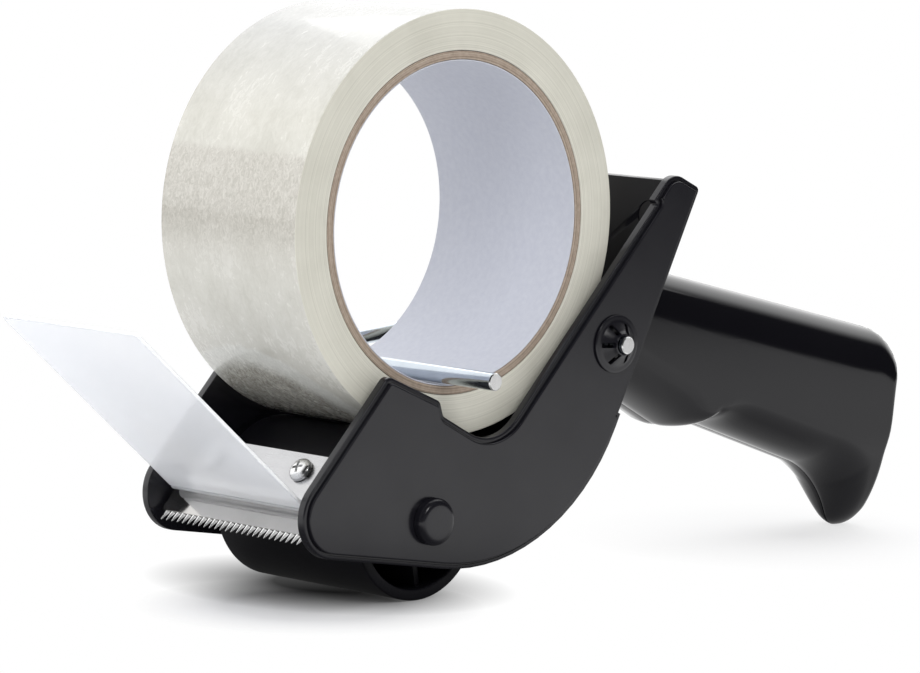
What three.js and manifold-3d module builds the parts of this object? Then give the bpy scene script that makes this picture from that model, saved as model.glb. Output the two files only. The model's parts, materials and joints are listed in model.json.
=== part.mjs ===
// Hand-held packing-tape dispenser: a two-part moulded body with a hollow grip, a drum roller,
// a toothed cutter with a clear tape flap, and a loose wire arm that keeps the roll on the roller.
//
// Millimetres, +Z up. The long side is X (cutter at -X, grip at +X) and the tape's width is Y.
// The part stands on its roller and on the tip of its grip, and its origin is the centre of its
// box on the surface that it stands on.

import * as THREE from "three";
import { mergeVertices } from "three/addons/utils/BufferGeometryUtils.js";
import Module from "manifold-3d";

const wasm = await Module();
wasm.setup();

// ---------------------------------------------------------------- driving dimensions

// Tape roll: 48 mm tape on a 3 inch core.
const tapeWidth = 48;
const coreInnerR = 38.1;
const coreWall = 2.3;
const windingThick = 9.85;
const linerThick = 0.25;

// Drum roller and its axle.
const rollerR = 19.35;
const rollerOverlength = 2.7;
const rollerWall = 2.65;
const rollerRibThick = 1.6;
const rollerRibCount = 6;
const rollerRibSetback = 3;
const rollerHubWall = 2.2;
const axleR = 4;
const axleHeadR = 5.6;
const axleHeadHeight = 2.6;

// Body mouldings.
const plateThick = 3;
const rearWallThick = 3.3;
const rollerEndGap = 1.65;
const wallEndGap = 3;
const partingGap = 0.3;
const panelProud = 0.75;
const ledgeWidth = 1.35;

// Side plate: how far its corners stand outside the roller or the full roll, and its fillets.
const noseReach = 29.4;
const noseFilletR = 9.8;
const heelFilletR = 53.5;
const peakReach = 18.1;
const notchLipReach = 8.7;
const notchStepReach = 5.3;
const notchFilletR = 12.5;
const earFootReach = 10.7;
const earFilletR = 5;
const earStep = 1.2;
const rearTopReach = 25.5;
const rearLip = 0.8;
const rearLipDrop = 59.3;
const webTopReach = 15.6;
const webFilletR = 20;
const pinMarkR = 3;
const pinMarkDepth = 0.3;
const pinMarkDrop = 8.3;
const pinMarkInset = 1.2;

// Grip, from where its top line leaves the plates' rear edge.
const gripDrop = 19.9;
const gripLength = 97.2;
const gripHalfWidth = 15;
const gripWall = 2.4;
const gripTopRound = 12.4;
const gripUnderRound = 10;
const gripEndRound = 4.6;
const gripCornerR = 7;
const fingerStopReach = 25.8;
const fingerStopDrop = 45.9;
const fingerStopR = 9;
const fingerStopProud = 2.2;
const fingerStopLean = 0.45;
const creaseReach = 31.5;
const creaseDrop = 43.1;
const hookSetback = 14.9;
const hookDrop = 60.9;
const hookFilletR = 24;
const hookTipHeight = 26;
const hookTipR = 4.5;
const gripHeelR = 6.5;
const gripEndRise = 22.2;

// Body screws.
const screwShankR = 1.4;
const screwHeadR = 3;
const screwHeadHeight = 1.9;
const screwBossR = 3.6;
const screwBiteDepth = 9;
const headSink = 4;
const wellGap = 0.4;
const gripScrewSetback = 14;
const gripScrewEndSetback = 8.2;
const gripScrewDrop = 18;
const heelBossR = 5;
const heelHeadSink = 2.2;

// Wire arm and its push-on retainer.
const wireR = 2.1;
const wireBendR = 2.9;
const wireSides = 14;
const wireTipReach = 12;
const wireEndReach = 4.6;
const retainerR = 7;
const pivotReach = 5.9;

// Cutter stack on the nose bar.
const stackAngle = THREE.MathUtils.degToRad(49.5);
const tapePassGap = 3;
const noseBarThick = 4.2;
const bladeDrop = 25.9;
const bladeWidth = 22.3;
const bladeThick = 0.8;
const toothDepth = 2;
const toothPitch = 1.96;
const clampThick = 1;
const flapSetback = 8;
const clampSetback = 1.9;
const flapThick = 1;
const flapCornerR = 1.5;
const flapLength = 66.2;
const stackScrewSetback = 4.9;
const stackScrewInset = 8.5;

// Clearances: between pieces that lie on each other, and round shafts.
const seatGap = 0.2;
const bossGap = 0.5;
const boreGap = 0.3;

// ---------------------------------------------------------------- layout worked out from them

const rollR = coreInnerR + coreWall + windingThick;
const rollerLength = tapeWidth + rollerOverlength;
const bayHalf = rollerLength / 2 + rollerEndGap;
const bodyHalfWidth = bayHalf + plateThick;

// The roll lies on the roller a little behind its top.
const rollLean = THREE.MathUtils.degToRad(10);
const rollerAxis = new THREE.Vector2(0, rollerR);
const rollAxis = polar(rollerAxis, Math.PI / 2 - rollLean, rollerR + rollR + boreGap);

// The arm's free leg rests in the bottom of the core.
const legLean = THREE.MathUtils.degToRad(5.6);
const legAxis = polar(rollAxis, -Math.PI / 2 - legLean, coreInnerR - wireR - boreGap);
const pivotAxis = aroundRoll(-33.4, pivotReach);

// The cutter stack's frame: origin on the roller's axis, u along the blade, n out of it.
const stackFace = rollerR + tapePassGap + noseBarThick;
const bladeTipU = -bladeDrop;
const flapRootU = bladeTipU + flapSetback;
const clampLowU = flapRootU + clampSetback;
const stackTopU = bladeTipU + bladeWidth;
const stackScrewU = stackTopU - stackScrewSetback;
const stackScrewY = tapeWidth / 2 - stackScrewInset;
const bladeHalf = bayHalf - 1.2;
const flapHalf = tapeWidth / 2 + 0.5;

function polar(centre, angle, radius) {
  return new THREE.Vector2(centre.x + radius * Math.cos(angle), centre.y + radius * Math.sin(angle));
}

// A point given by its angle in degrees and its distance outside the full roll or the roller.
function aroundRoll(degrees, distance) {
  return polar(rollAxis, THREE.MathUtils.degToRad(degrees), rollR + distance);
}

function aroundRoller(degrees, distance) {
  return polar(rollerAxis, THREE.MathUtils.degToRad(degrees), rollerR + distance);
}

// ---------------------------------------------------------------- outlines

// A corner is {x, y, r}: where two edges would meet, and the fillet between them.
function corner(point, r) {
  return { x: point.x, y: point.y, r };
}

function corner2(x, y, r) {
  return { x, y, r };
}

// How far a corner's fillet runs along its edges.
function filletReach(before, here, after) {
  const back = new THREE.Vector2(before.x - here.x, before.y - here.y);
  const on = new THREE.Vector2(after.x - here.x, after.y - here.y);
  const half = Math.abs(Math.atan2(back.cross(on), back.dot(on))) / 2;
  return here.r / Math.tan(half);
}

// The same corners, with fillets limited where two of them would meet on one edge.
function fittedCorners(corners) {
  const count = corners.length;
  const before = (i) => corners[(i + count - 1) % count];
  const after = (i) => corners[(i + 1) % count];
  const reach = corners.map((here, i) => filletReach(before(i), here, after(i)));
  const share = corners.map((here, i) => {
    const edge = Math.hypot(after(i).x - here.x, after(i).y - here.y);
    const wanted = reach[i] + reach[(i + 1) % count];
    return wanted > edge + 1e-6 ? edge / wanted : 1;
  });
  return corners.map((here, i) => {
    return corner2(here.x, here.y, here.r * Math.min(share[i], share[(i + count - 1) % count]));
  });
}

// Points along a closed outline of straight edges and filleted corners.
function roundedLoop(wanted, stepDegrees = 9) {
  const corners = fittedCorners(wanted);
  const points = [];
  corners.forEach((here, i) => {
    const before = corners[(i + corners.length - 1) % corners.length];
    const after = corners[(i + 1) % corners.length];
    const toBefore = new THREE.Vector2(before.x - here.x, before.y - here.y).normalize();
    const toAfter = new THREE.Vector2(after.x - here.x, after.y - here.y).normalize();
    const half = Math.acos(THREE.MathUtils.clamp(toBefore.dot(toAfter), -1, 1)) / 2;
    const apex = new THREE.Vector2(here.x, here.y);
    if (here.r <= 0 || Math.PI / 2 - half < 1e-3) {
      points.push(apex);
      return;
    }
    const bisector = toBefore.clone().add(toAfter).normalize();
    const centre = apex.clone().addScaledVector(bisector, here.r / Math.sin(half));
    const start = apex.clone().addScaledVector(toBefore, here.r / Math.tan(half)).sub(centre);
    const end = apex.clone().addScaledVector(toAfter, here.r / Math.tan(half)).sub(centre);
    const turn = Math.atan2(start.cross(end), start.dot(end));
    const steps = Math.max(2, Math.ceil(Math.abs(THREE.MathUtils.radToDeg(turn)) / stepDegrees));
    for (let k = 0; k <= steps; k += 1) {
      const a = start.angle() + (turn * k) / steps;
      points.push(new THREE.Vector2(centre.x + here.r * Math.cos(a), centre.y + here.r * Math.sin(a)));
    }
  });
  return points;
}

// The same outline with every edge moved inwards; it runs anticlockwise.
function insetCorners(corners, distance) {
  const edges = corners.map((a, i) => {
    const b = corners[(i + 1) % corners.length];
    const along = new THREE.Vector2(b.x - a.x, b.y - a.y).normalize();
    return { p: new THREE.Vector2(a.x - along.y * distance, a.y + along.x * distance), along };
  });
  return corners.map((here, i) => {
    const e = edges[(i + corners.length - 1) % corners.length];
    const f = edges[i];
    const bend = e.along.cross(f.along);
    const t = new THREE.Vector2().subVectors(f.p, e.p).cross(f.along) / bend;
    const r = here.r - Math.sign(bend) * distance;
    return corner2(e.p.x + e.along.x * t, e.p.y + e.along.y * t, Math.max(r, 0));
  });
}

// ---------------------------------------------------------------- solids

// A closed XZ outline carried along Y from one side to the other.
function prism(points, yFrom, yTo) {
  const depth = Math.abs(yTo - yFrom);
  const solid = new THREE.ExtrudeGeometry(new THREE.Shape(points), { depth, bevelEnabled: false });
  solid.rotateX(Math.PI / 2);
  return solid.translate(0, Math.max(yFrom, yTo), 0);
}

function rectangle(x0, z0, x1, z1) {
  return [
    new THREE.Vector2(x0, z0),
    new THREE.Vector2(x1, z0),
    new THREE.Vector2(x1, z1),
    new THREE.Vector2(x0, z1),
  ];
}

// A round bar or bore along Y.
function barY(axis, r, yFrom, yTo, sides = 24) {
  const bar = new THREE.CylinderGeometry(r, r, Math.abs(yTo - yFrom), sides);
  return bar.translate(axis.x, (yFrom + yTo) / 2, axis.y);
}

// A turned piece: profile of [radius, y] pairs about the Y axis, moved to an axis in XZ.
function turnedY(profile, axis = new THREE.Vector2(), sides = 32) {
  const points = profile.map(([r, y]) => new THREE.Vector2(r, y));
  return new THREE.LatheGeometry(points, sides).translate(axis.x, 0, axis.y);
}

// A skin over a row of rings that all have the same number of points, closed at both ends.
function loft(rings) {
  const count = rings[0].length;
  const positions = [];
  const index = [];
  rings.forEach((ring) => ring.forEach((p) => positions.push(p.x, p.y, p.z)));
  for (let i = 0; i + 1 < rings.length; i += 1) {
    for (let k = 0; k < count; k += 1) {
      const a = i * count + k;
      const b = i * count + ((k + 1) % count);
      index.push(a, b, a + count, b, b + count, a + count);
    }
  }
  [0, rings.length - 1].forEach((i) => {
    const middle = new THREE.Vector3();
    rings[i].forEach((p) => middle.addScaledVector(p, 1 / count));
    const hub = positions.length / 3;
    positions.push(middle.x, middle.y, middle.z);
    for (let k = 0; k < count; k += 1) {
      const a = i * count + k;
      const b = i * count + ((k + 1) % count);
      index.push(...(i === 0 ? [hub, b, a] : [hub, a, b]));
    }
  });
  const skin = new THREE.BufferGeometry();
  skin.setAttribute("position", new THREE.Float32BufferAttribute(positions, 3));
  skin.setIndex(index);
  return skin;
}

// A geometry as a manifold solid, and back.
function solid(geometry) {
  const bare = geometry.clone();
  ["normal", "uv"].forEach((name) => bare.deleteAttribute(name));
  const merged = mergeVertices(bare, 1e-4);
  const vertProperties = Float32Array.from(merged.attributes.position.array);
  const triVerts = Uint32Array.from(merged.index.array);
  return new wasm.Manifold(new wasm.Mesh({ numProp: 3, vertProperties, triVerts }));
}

function geometryOf(body) {
  const mesh = body.getMesh();
  const geometry = new THREE.BufferGeometry();
  geometry.setAttribute("position", new THREE.Float32BufferAttribute(mesh.vertProperties, 3));
  geometry.setIndex(Array.from(mesh.triVerts));
  geometry.computeVertexNormals();
  return geometry;
}

// A geometry made in the cutter stack's frame (u along X, n along Z), turned into place.
function onStack(geometry) {
  return geometry.rotateY(-stackAngle).translate(rollerAxis.x, 0, rollerAxis.y);
}

// ---------------------------------------------------------------- body outline and grip form

// Side plate, anticlockwise from the nose: it is laid out round the roller and the full roll.
const frontEdgeDirection = THREE.MathUtils.degToRad(47.2);
const rearEdgeDirection = THREE.MathUtils.degToRad(63.8);
const earFoot = aroundRoll(2.05, earFootReach);
const rearEdgeTop = aroundRoll(4.05, rearTopReach);
const lipTop = polar(rearEdgeTop, rearEdgeDirection + Math.PI, rearLipDrop);
const rearOut = rearEdgeDirection - Math.PI / 2;

function meet(a, angleA, b, angleB) {
  const da = new THREE.Vector2(Math.cos(angleA), Math.sin(angleA));
  const db = new THREE.Vector2(Math.cos(angleB), Math.sin(angleB));
  const t = new THREE.Vector2().subVectors(b, a).cross(db) / da.cross(db);
  return a.clone().addScaledVector(da, t);
}

const noseCorner = aroundRoller(184.2, noseReach);
const bottomDirection = THREE.MathUtils.degToRad(-8.8);
const lipFoot = polar(lipTop, rearOut, rearLip);
const heelCorner = meet(noseCorner, bottomDirection, lipFoot, rearEdgeDirection);
const earStepOut = polar(earFoot, frontEdgeDirection + Math.PI / 2, earStep);
const earTopDirection = THREE.MathUtils.degToRad(-25.6);
const earTop = meet(earStepOut, frontEdgeDirection, rearEdgeTop, earTopDirection);
const peak = aroundRoller(111, peakReach);
const notchLip = aroundRoller(83.9, notchLipReach);
const notchStep = aroundRoller(80.5, notchStepReach);
const notchDirection = THREE.MathUtils.degToRad(-28.2);
const notchCorner = meet(notchStep, notchDirection, earFoot, frontEdgeDirection);

const plateCorners = [
  corner(noseCorner, noseFilletR),
  corner(heelCorner, heelFilletR),
  corner(lipFoot, 0),
  corner(lipTop, 0),
  corner(rearEdgeTop, 1.2),
  corner(earTop, earFilletR),
  corner(earStepOut, 0.3),
  corner(earFoot, 0.3),
  corner(notchCorner, notchFilletR),
  corner(notchStep, 1.6),
  corner(notchLip, 1.8),
  corner(peak, 2.2),
];
const plateLoop = roundedLoop(plateCorners);

// The tape bay: everything in front of the rear wall, whose upper part stands more upright.
const webTop = aroundRoll(6.6, webTopReach);
const webDirection = THREE.MathUtils.degToRad(78);
const webOut = webDirection - Math.PI / 2;
const wallTopInside = polar(rearEdgeTop, rearOut + Math.PI, rearWallThick);
const webBend = meet(webTop, webDirection, wallTopInside, rearEdgeDirection);
const bayTop = polar(webTop, webDirection, 40);
const bayHeel = insetCorners(plateCorners, rearWallThick)[1];
const bayFloor = new THREE.Vector2(bayHeel.x, bayHeel.y);
const bayHeelPoint = meet(bayFloor, bottomDirection, wallTopInside, rearEdgeDirection);
const bayFront = polar(bayHeelPoint, bottomDirection + Math.PI, 3 * rollR);
const bayLoop = roundedLoop([
  corner2(bayFront.x, bayTop.y, 0),
  corner(bayFront, 0),
  corner(bayHeelPoint, bayHeel.r),
  corner(webBend, webFilletR),
  corner(bayTop, 0),
]);

// The recess behind the upright part of the rear wall, so that the wall keeps one thickness.
const webBack = polar(webTop, webOut, rearWallThick);
const recessFoot = meet(webBack, webDirection, rearEdgeTop, rearEdgeDirection);
const recessLoop = [
  recessFoot,
  polar(polar(rearEdgeTop, rearOut, 5), rearEdgeDirection, 40),
  polar(webBack, webDirection, 40),
];

// Grip seen from the side: the top line, the rear end, the hooked tip and the finger stop.
const gripTopStart = polar(rearEdgeTop, rearEdgeDirection + Math.PI, gripDrop);
const gripTopDirection = THREE.MathUtils.degToRad(-13.7);
const gripUnderDirection = THREE.MathUtils.degToRad(-19);
const hookDirection = THREE.MathUtils.degToRad(-68);
const gripEndDirection = THREE.MathUtils.degToRad(77);
const quarterTurn = Math.PI / 2;
const hookCorner = fromGripStart(gripLength - hookSetback, hookDrop);
const hookFoot = meet(hookCorner, hookDirection, new THREE.Vector2(), 0);
const gripFoot = new THREE.Vector2(gripTopStart.x + gripLength, 0);
const gripKnee = polar(gripFoot, quarterTurn, gripEndRise);
const gripEndTop = meet(gripTopStart, gripTopDirection, gripKnee, gripEndDirection);
const gripCorners = [
  corner(polar(gripTopStart, gripTopDirection + Math.PI, gripHalfWidth * 2), 0),
  corner(fromGripStart(-gripHalfWidth * 3, gripHalfWidth / 2), 0),
  corner(fromGripStart(fingerStopReach, fingerStopDrop), fingerStopR),
  corner(fromGripStart(creaseReach, creaseDrop), 1),
  corner(hookCorner, hookFilletR),
  corner(hookFoot, hookTipR),
  corner(gripFoot, gripHeelR),
  corner(gripKnee, 2 * gripHeelR),
  corner(gripEndTop, gripCornerR),
];
const gripLoop = roundedLoop(gripCorners, 7);
const gripEndX = Math.max(...gripLoop.map((p) => p.x));

function fromGripStart(back, down) {
  return new THREE.Vector2(gripTopStart.x + back, gripTopStart.y - down);
}

// Where a ray first enters the grip's outline, and where it last leaves it.
function gripChord(from, direction) {
  const ray = new THREE.Vector2(Math.cos(direction), Math.sin(direction));
  const found = [];
  gripLoop.forEach((a, i) => {
    const edge = gripLoop[(i + 1) % gripLoop.length].clone().sub(a);
    const across = ray.cross(edge);
    const offset = a.clone().sub(from);
    const along = offset.cross(ray) / across;
    if (Math.abs(across) > 1e-9 && along >= 0 && along <= 1) {
      found.push(offset.cross(edge) / across);
    }
  });
  const ahead = found.filter((t) => t > 0);
  return [polar(from, direction, Math.min(...ahead)), polar(from, direction, Math.max(...ahead))];
}

// Quarter of a round edge: 0 at the edge itself, 1 where the flat side begins.
function edgeRound(distance, radius, power = 2.1) {
  const along = THREE.MathUtils.clamp(1 - distance / radius, 0, 1);
  return (1 - along ** power) ** (1 / power);
}

// The grip's cuts run square to it: first in a row along it, then as a fan into the hook.
const fanBend = (gripUnderDirection - hookDirection) / 2;
const fanBisector = (gripUnderDirection + hookDirection) / 2 - quarterTurn;
const fanCentre = polar(hookCorner, fanBisector, hookFilletR / Math.cos(fanBend));
const rowEnd = polar(fanCentre, gripUnderDirection + quarterTurn, hookFilletR - 1);
const rowStart = polar(gripTopStart, rearEdgeDirection + Math.PI, fingerStopDrop + 4);
const tipDirection = Math.min(...gripLoop.map((p) => p.clone().sub(fanCentre)).map((v) => {
  return v.x > hookFilletR / 2 ? v.angle() % (2 * Math.PI) : Math.PI;
}));

// A cut of the row, from 0 at the plates' rear edge to 1 at the fan.
function rowCut(along) {
  const from = rowStart.clone().lerp(rowEnd, along);
  const turn = THREE.MathUtils.clamp(along, 0, 1) * (gripUnderDirection + quarterTurn - rearEdgeDirection);
  return { from, direction: rearEdgeDirection + turn, along, endRound: gripTopRound };
}

// A cut of the fan, from 0 at the row to 1 at the very tip.
function fanCut(along) {
  const first = gripUnderDirection + quarterTurn;
  const direction = first + (tipDirection - first) * along;
  const behindCorner = THREE.MathUtils.smoothstep(along, 0.2, 0.45);
  const endRound = THREE.MathUtils.lerp(gripTopRound, gripEndRound, behindCorner);
  return { from: fanCentre, direction, along: 1, endRound };
}

// Share of the row at which a cut passes the crease behind the finger stop.
const crease = fromGripStart(creaseReach, creaseDrop);
const rowDirection = rowEnd.clone().sub(rowStart).angle();
const creasePass = meet(crease, rearEdgeDirection, rowStart, rowDirection);
const creaseShare = creasePass.distanceTo(rowStart) / rowEnd.distanceTo(rowStart);

// How far the finger stop stands out sideways: it ends at the crease and fades upwards.
function fingerStopAt(along, share) {
  const end = creaseShare - fingerStopLean * share;
  const rise = THREE.MathUtils.smoothstep(end - along, 0, 0.06);
  return fingerStopProud * rise * THREE.MathUtils.clamp(1 - share / 0.45, 0, 1);
}

// Half-width of the grip on one of its cuts, at a share of the cut and at a height.
function gripHalfAt(cut, share, length, height) {
  const low = edgeRound(share * length, Math.min(gripUnderRound, length / 2));
  const high = edgeRound((1 - share) * length, Math.min(cut.endRound, length / 2));
  const tip = edgeRound(height, hookTipHeight, 1.7);
  return (gripHalfWidth * tip + fingerStopAt(cut.along, share)) * low * high;
}

// A ring of the grip, pulled in by the wall's thickness for the hollow.
function gripRing(cut, inset, sides) {
  const [low, high] = gripChord(cut.from, cut.direction);
  const length = low.distanceTo(high);
  return Array.from({ length: sides }, (_, k) => {
    const a = (2 * Math.PI * k) / sides;
    const share = (1 + Math.sin(a)) / 2;
    const place = low.clone().lerp(high, share * (1 - (2 * inset) / length) + inset / length);
    const half = Math.max(gripHalfAt(cut, share, length, place.y) * (1 - inset / gripHalfWidth), 0.02);
    const y = Math.abs(Math.cos(a)) < 1e-6 ? 0 : Math.sign(Math.cos(a)) * half;
    return new THREE.Vector3(place.x, y, place.y);
  });
}

function gripLoft(cuts, inset, sides) {
  return loft(cuts.map((cut) => gripRing(cut, inset, sides)));
}

function evenly(from, to, count) {
  return Array.from({ length: count }, (_, i) => from + ((to - from) * i) / (count - 1));
}

const rowCuts = [
  ...evenly(-0.09, creaseShare - 0.24, 3),
  ...evenly(creaseShare - 0.18, creaseShare - 0.02, 6),
  ...evenly(creaseShare + 0.012, creaseShare + 0.06, 3),
  ...evenly(creaseShare + 0.15, 0.97, 4),
].map(rowCut);
const fanCuts = [...evenly(0, 0.8, 9), 0.87, 0.93, 0.97, 0.995].map(fanCut);
const gripSides = 24;

// Body screws along the grip and at the heel: place in the side view.
const gripScrews = evenly(gripScrewSetback, gripLength - gripScrewEndSetback, 3).map((back) => {
  return fromGripStart(back, gripScrewDrop - back * Math.tan(gripTopDirection));
});
const heelScrew = aroundRoller(8, rollerR);
const gripScrewSeat = gripHalfWidth - headSink;
const heelScrewSeat = bodyHalfWidth - heelHeadSink;

// ---------------------------------------------------------------- body mouldings

// Half of the nose bar: a channel that backs the blade, with a boss round the stack screw.
function noseBar(side) {
  const inner = side * (partingGap / 2);
  const outer = side * (bayHalf + plateThick / 2);
  const web = 2.2;
  const low = bladeTipU + 5;
  const high = stackTopU + 0.6;
  const top = stackFace - bladeThick - seatGap;
  const deep = stackFace - noseBarThick;
  const profile = [
    [low, deep + 0.8],
    [low + 1.8, deep + 0.8],
    [low + 1.8, top - web],
    [high - 1.8, top - web],
    [high - 1.8, deep],
    [high, deep],
    [high, top],
    [low, top],
  ].map(([u, n]) => new THREE.Vector2(u, n));
  const boss = new THREE.CylinderGeometry(3.4, 3.4, top - deep, 24);
  boss.rotateX(Math.PI / 2).translate(stackScrewU, side * stackScrewY, (top + deep) / 2);
  const bore = screwShankR + boreGap;
  const pilot = new THREE.CylinderGeometry(bore, bore, 4 * noseBarThick, 16);
  pilot.rotateX(Math.PI / 2).translate(stackScrewU, side * stackScrewY, top);
  return solid(onStack(prism(profile, inner, outer)))
    .add(solid(onStack(boss)))
    .subtract(solid(onStack(pilot)));
}

// Half of the hollow grip, with the bosses that its screws go through.
function gripHalf(side) {
  const wide = 2 * gripHalfWidth;
  const inner = side * (partingGap / 2);
  const halfSpace = prism(rectangle(-rollR, -rollR, gripEndX + wide, 3 * rollR), inner, side * wide);
  const bay = solid(prism(bayLoop, -wide, wide));
  const form = solid(gripLoft([...rowCuts, ...fanCuts], 0, gripSides));
  const outside = form.subtract(bay).intersect(solid(halfSpace));
  const plateShape = solid(prism(plateLoop, -wide, wide));
  const core = solid(gripLoft([...rowCuts, ...fanCuts.slice(0, 3)], gripWall, gripSides / 2));
  const hollow = core.subtract(plateShape);
  let half = outside.subtract(hollow);
  gripScrews.forEach((p) => {
    const boss = solid(barY(p, screwBossR, inner, side * wide)).intersect(outside);
    half = half.add(boss);
  });
  gripScrews.forEach((p) => {
    const depth = side < 0 ? -screwBiteDepth - 1 : gripScrewSeat + 1;
    half = half.subtract(solid(barY(p, screwShankR + boreGap, 0, depth, 12)));
    if (side > 0) {
      half = half.subtract(solid(barY(p, screwHeadR + wellGap, gripScrewSeat, wide, 20)));
    }
  });
  return half;
}

// Boss across the heel of the bay, for the screw that joins the plates behind the roller.
function heelBoss(side) {
  return solid(barY(heelScrew, heelBossR, side * (partingGap / 2), side * (bayHalf + plateThick / 2)));
}

function heelScrewHole(side) {
  const depth = side < 0 ? -screwBiteDepth - 1 : bodyHalfWidth + 1;
  const hole = solid(barY(heelScrew, screwShankR + boreGap, 0, depth, 12));
  const well = barY(heelScrew, screwHeadR + wellGap, heelScrewSeat, bodyHalfWidth + 1, 20);
  return side < 0 ? hole : hole.add(solid(well));
}

// Shallow round mark of an ejector pin near the top of the rear wall.
function pinMark(side) {
  const centre = polar(webTop, webDirection + Math.PI, pinMarkDrop);
  const disc = new THREE.CylinderGeometry(pinMarkR, pinMarkR, 2 * pinMarkDepth, 20);
  disc.rotateZ(-Math.PI / 2).rotateY(-webOut);
  return solid(disc.translate(centre.x, side * (bayHalf - pinMarkR - pinMarkInset), centre.y));
}

// Rear wall of the bay: the plate's outline less the bay, ended behind the roller.
function rearWall(side) {
  const inner = side * (partingGap / 2);
  const outer = side * (bayHalf + plateThick / 2);
  const ahead = rectangle(-3 * rollR, -rollR, rollerR + wallEndGap, rollAxis.y);
  const above = rectangle(rollR, webTop.y, 2 * rollR, 3 * rollR);
  return [bayLoop, ahead, above, recessLoop].reduce(
    (wall, loop) => wall.subtract(solid(prism(loop, -bodyHalfWidth, bodyHalfWidth))),
    solid(prism(plateLoop, inner, outer)),
  );
}

// Side plate: a raised panel inside a narrow ledge, and a boss that spaces the roller.
function sidePlate(side) {
  const inside = side * bayHalf;
  const outside = side * bodyHalfWidth;
  const ledge = outside - side * panelProud;
  const panelLoop = roundedLoop(insetCorners(plateCorners, ledgeWidth));
  const bossFace = inside - side * (rollerEndGap - bossGap);
  const axleBoss = barY(rollerAxis, axleHeadR, bossFace, inside + side, 32);
  return solid(prism(plateLoop, inside, ledge))
    .add(solid(prism(panelLoop, inside + side, outside)))
    .add(solid(axleBoss))
    .subtract(solid(barY(rollerAxis, axleR + boreGap, 0, 2 * outside, 32)))
    .subtract(solid(barY(pivotAxis, wireR + boreGap, 0, 2 * outside, 24)));
}

function bodyHalf(side) {
  const plateAndWall = sidePlate(side).add(rearWall(side)).add(heelBoss(side));
  const drilled = plateAndWall.subtract(heelScrewHole(side)).subtract(pinMark(side));
  return geometryOf(drilled.add(noseBar(side)).add(gripHalf(side)));
}

// ---------------------------------------------------------------- cutter stack

// Toothed blade: a strip whose lower edge is a row of pointed teeth.
function blade() {
  const outline = new THREE.Shape();
  const count = Math.floor((2 * bladeHalf) / toothPitch);
  const start = (-count * toothPitch) / 2;
  outline.moveTo(stackTopU, -bladeHalf);
  outline.lineTo(stackTopU, bladeHalf);
  outline.lineTo(bladeTipU + toothDepth, bladeHalf);
  for (let i = count; i > 0; i -= 1) {
    outline.lineTo(bladeTipU + toothDepth, start + i * toothPitch - 0.25);
    outline.lineTo(bladeTipU, start + (i - 0.45) * toothPitch);
  }
  outline.lineTo(bladeTipU + toothDepth, start);
  outline.lineTo(bladeTipU + toothDepth, -bladeHalf);
  [-1, 1].forEach((side) => {
    const hole = new THREE.Path();
    hole.absarc(stackScrewU, side * stackScrewY, screwShankR + boreGap, 0, 2 * Math.PI, true);
    outline.holes.push(hole);
  });
  const options = { depth: bladeThick, bevelEnabled: false, curveSegments: 10 };
  return onStack(new THREE.ExtrudeGeometry(outline, options).translate(0, 0, stackFace - bladeThick));
}

// A flat sheet of the stack with its two screw holes.
function drilledSheet(uLow, uHigh, half, nLow, thick, cornerR) {
  const loop = roundedLoop([
    corner2(uLow, -half, cornerR),
    corner2(uHigh, -half, cornerR),
    corner2(uHigh, half, cornerR),
    corner2(uLow, half, cornerR),
  ], 30);
  const outline = new THREE.Shape(loop);
  [-1, 1].forEach((side) => {
    const hole = new THREE.Path();
    hole.absarc(stackScrewU, side * stackScrewY, screwShankR + boreGap, 0, 2 * Math.PI, true);
    outline.holes.push(hole);
  });
  const options = { depth: thick, bevelEnabled: false, curveSegments: 10 };
  return new THREE.ExtrudeGeometry(outline, options).translate(0, 0, nLow);
}

const flangeLow = stackFace + seatGap;
const clampLow = flangeLow + flapThick + seatGap;
const flapBendR = 0.6;
const flangeRise = 1.1;
const flapHingeN = flangeLow + flapThick + flangeRise + boreGap + flapThick / 2;

// The clear flap's flange lies under the clamp and turns up into a short root.
function flapFlange() {
  const top = flangeLow + flapThick;
  const back = flapRootU + flapThick / 2;
  const front = flapRootU - flapThick / 2;
  const bend = roundedLoop([
    corner2(front, flangeLow, flapBendR + flapThick),
    corner2(clampLowU, flangeLow, 0),
    corner2(clampLowU, top, 0),
    corner2(back, top, flapBendR),
    corner2(back, top + flangeRise, 0),
    corner2(front, top + flangeRise, 0),
  ]);
  const sheet = drilledSheet(clampLowU - 0.5, stackTopU, flapHalf, flangeLow, flapThick, 0);
  return geometryOf(solid(onStack(sheet)).add(solid(onStack(prism(bend, -flapHalf, flapHalf)))));
}

// The free part of the flap stands square to the blade and turns about its round lower edge.
function flapSheet() {
  const half = flapThick / 2;
  const high = flapHingeN + flapLength;
  const section = roundedLoop([
    corner2(flapRootU - half, flapHingeN - half, half),
    corner2(flapRootU + half, flapHingeN - half, half),
    corner2(flapRootU + half, high, 0),
    corner2(flapRootU - half, high, 0),
  ], 30);
  const face = roundedLoop([
    corner2(-flapHalf, flapHingeN - flapThick, 0),
    corner2(flapHalf, flapHingeN - flapThick, 0),
    corner2(flapHalf, high, flapCornerR),
    corner2(-flapHalf, high, flapCornerR),
  ], 30);
  const options = { depth: 4 * flapThick, bevelEnabled: false };
  const outline = new THREE.ExtrudeGeometry(new THREE.Shape(face), options);
  outline.rotateX(Math.PI / 2).rotateZ(Math.PI / 2).translate(flapRootU - 2 * flapThick, 0, 0);
  return geometryOf(solid(onStack(prism(section, -flapHalf, flapHalf))).intersect(solid(onStack(outline))));
}

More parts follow.
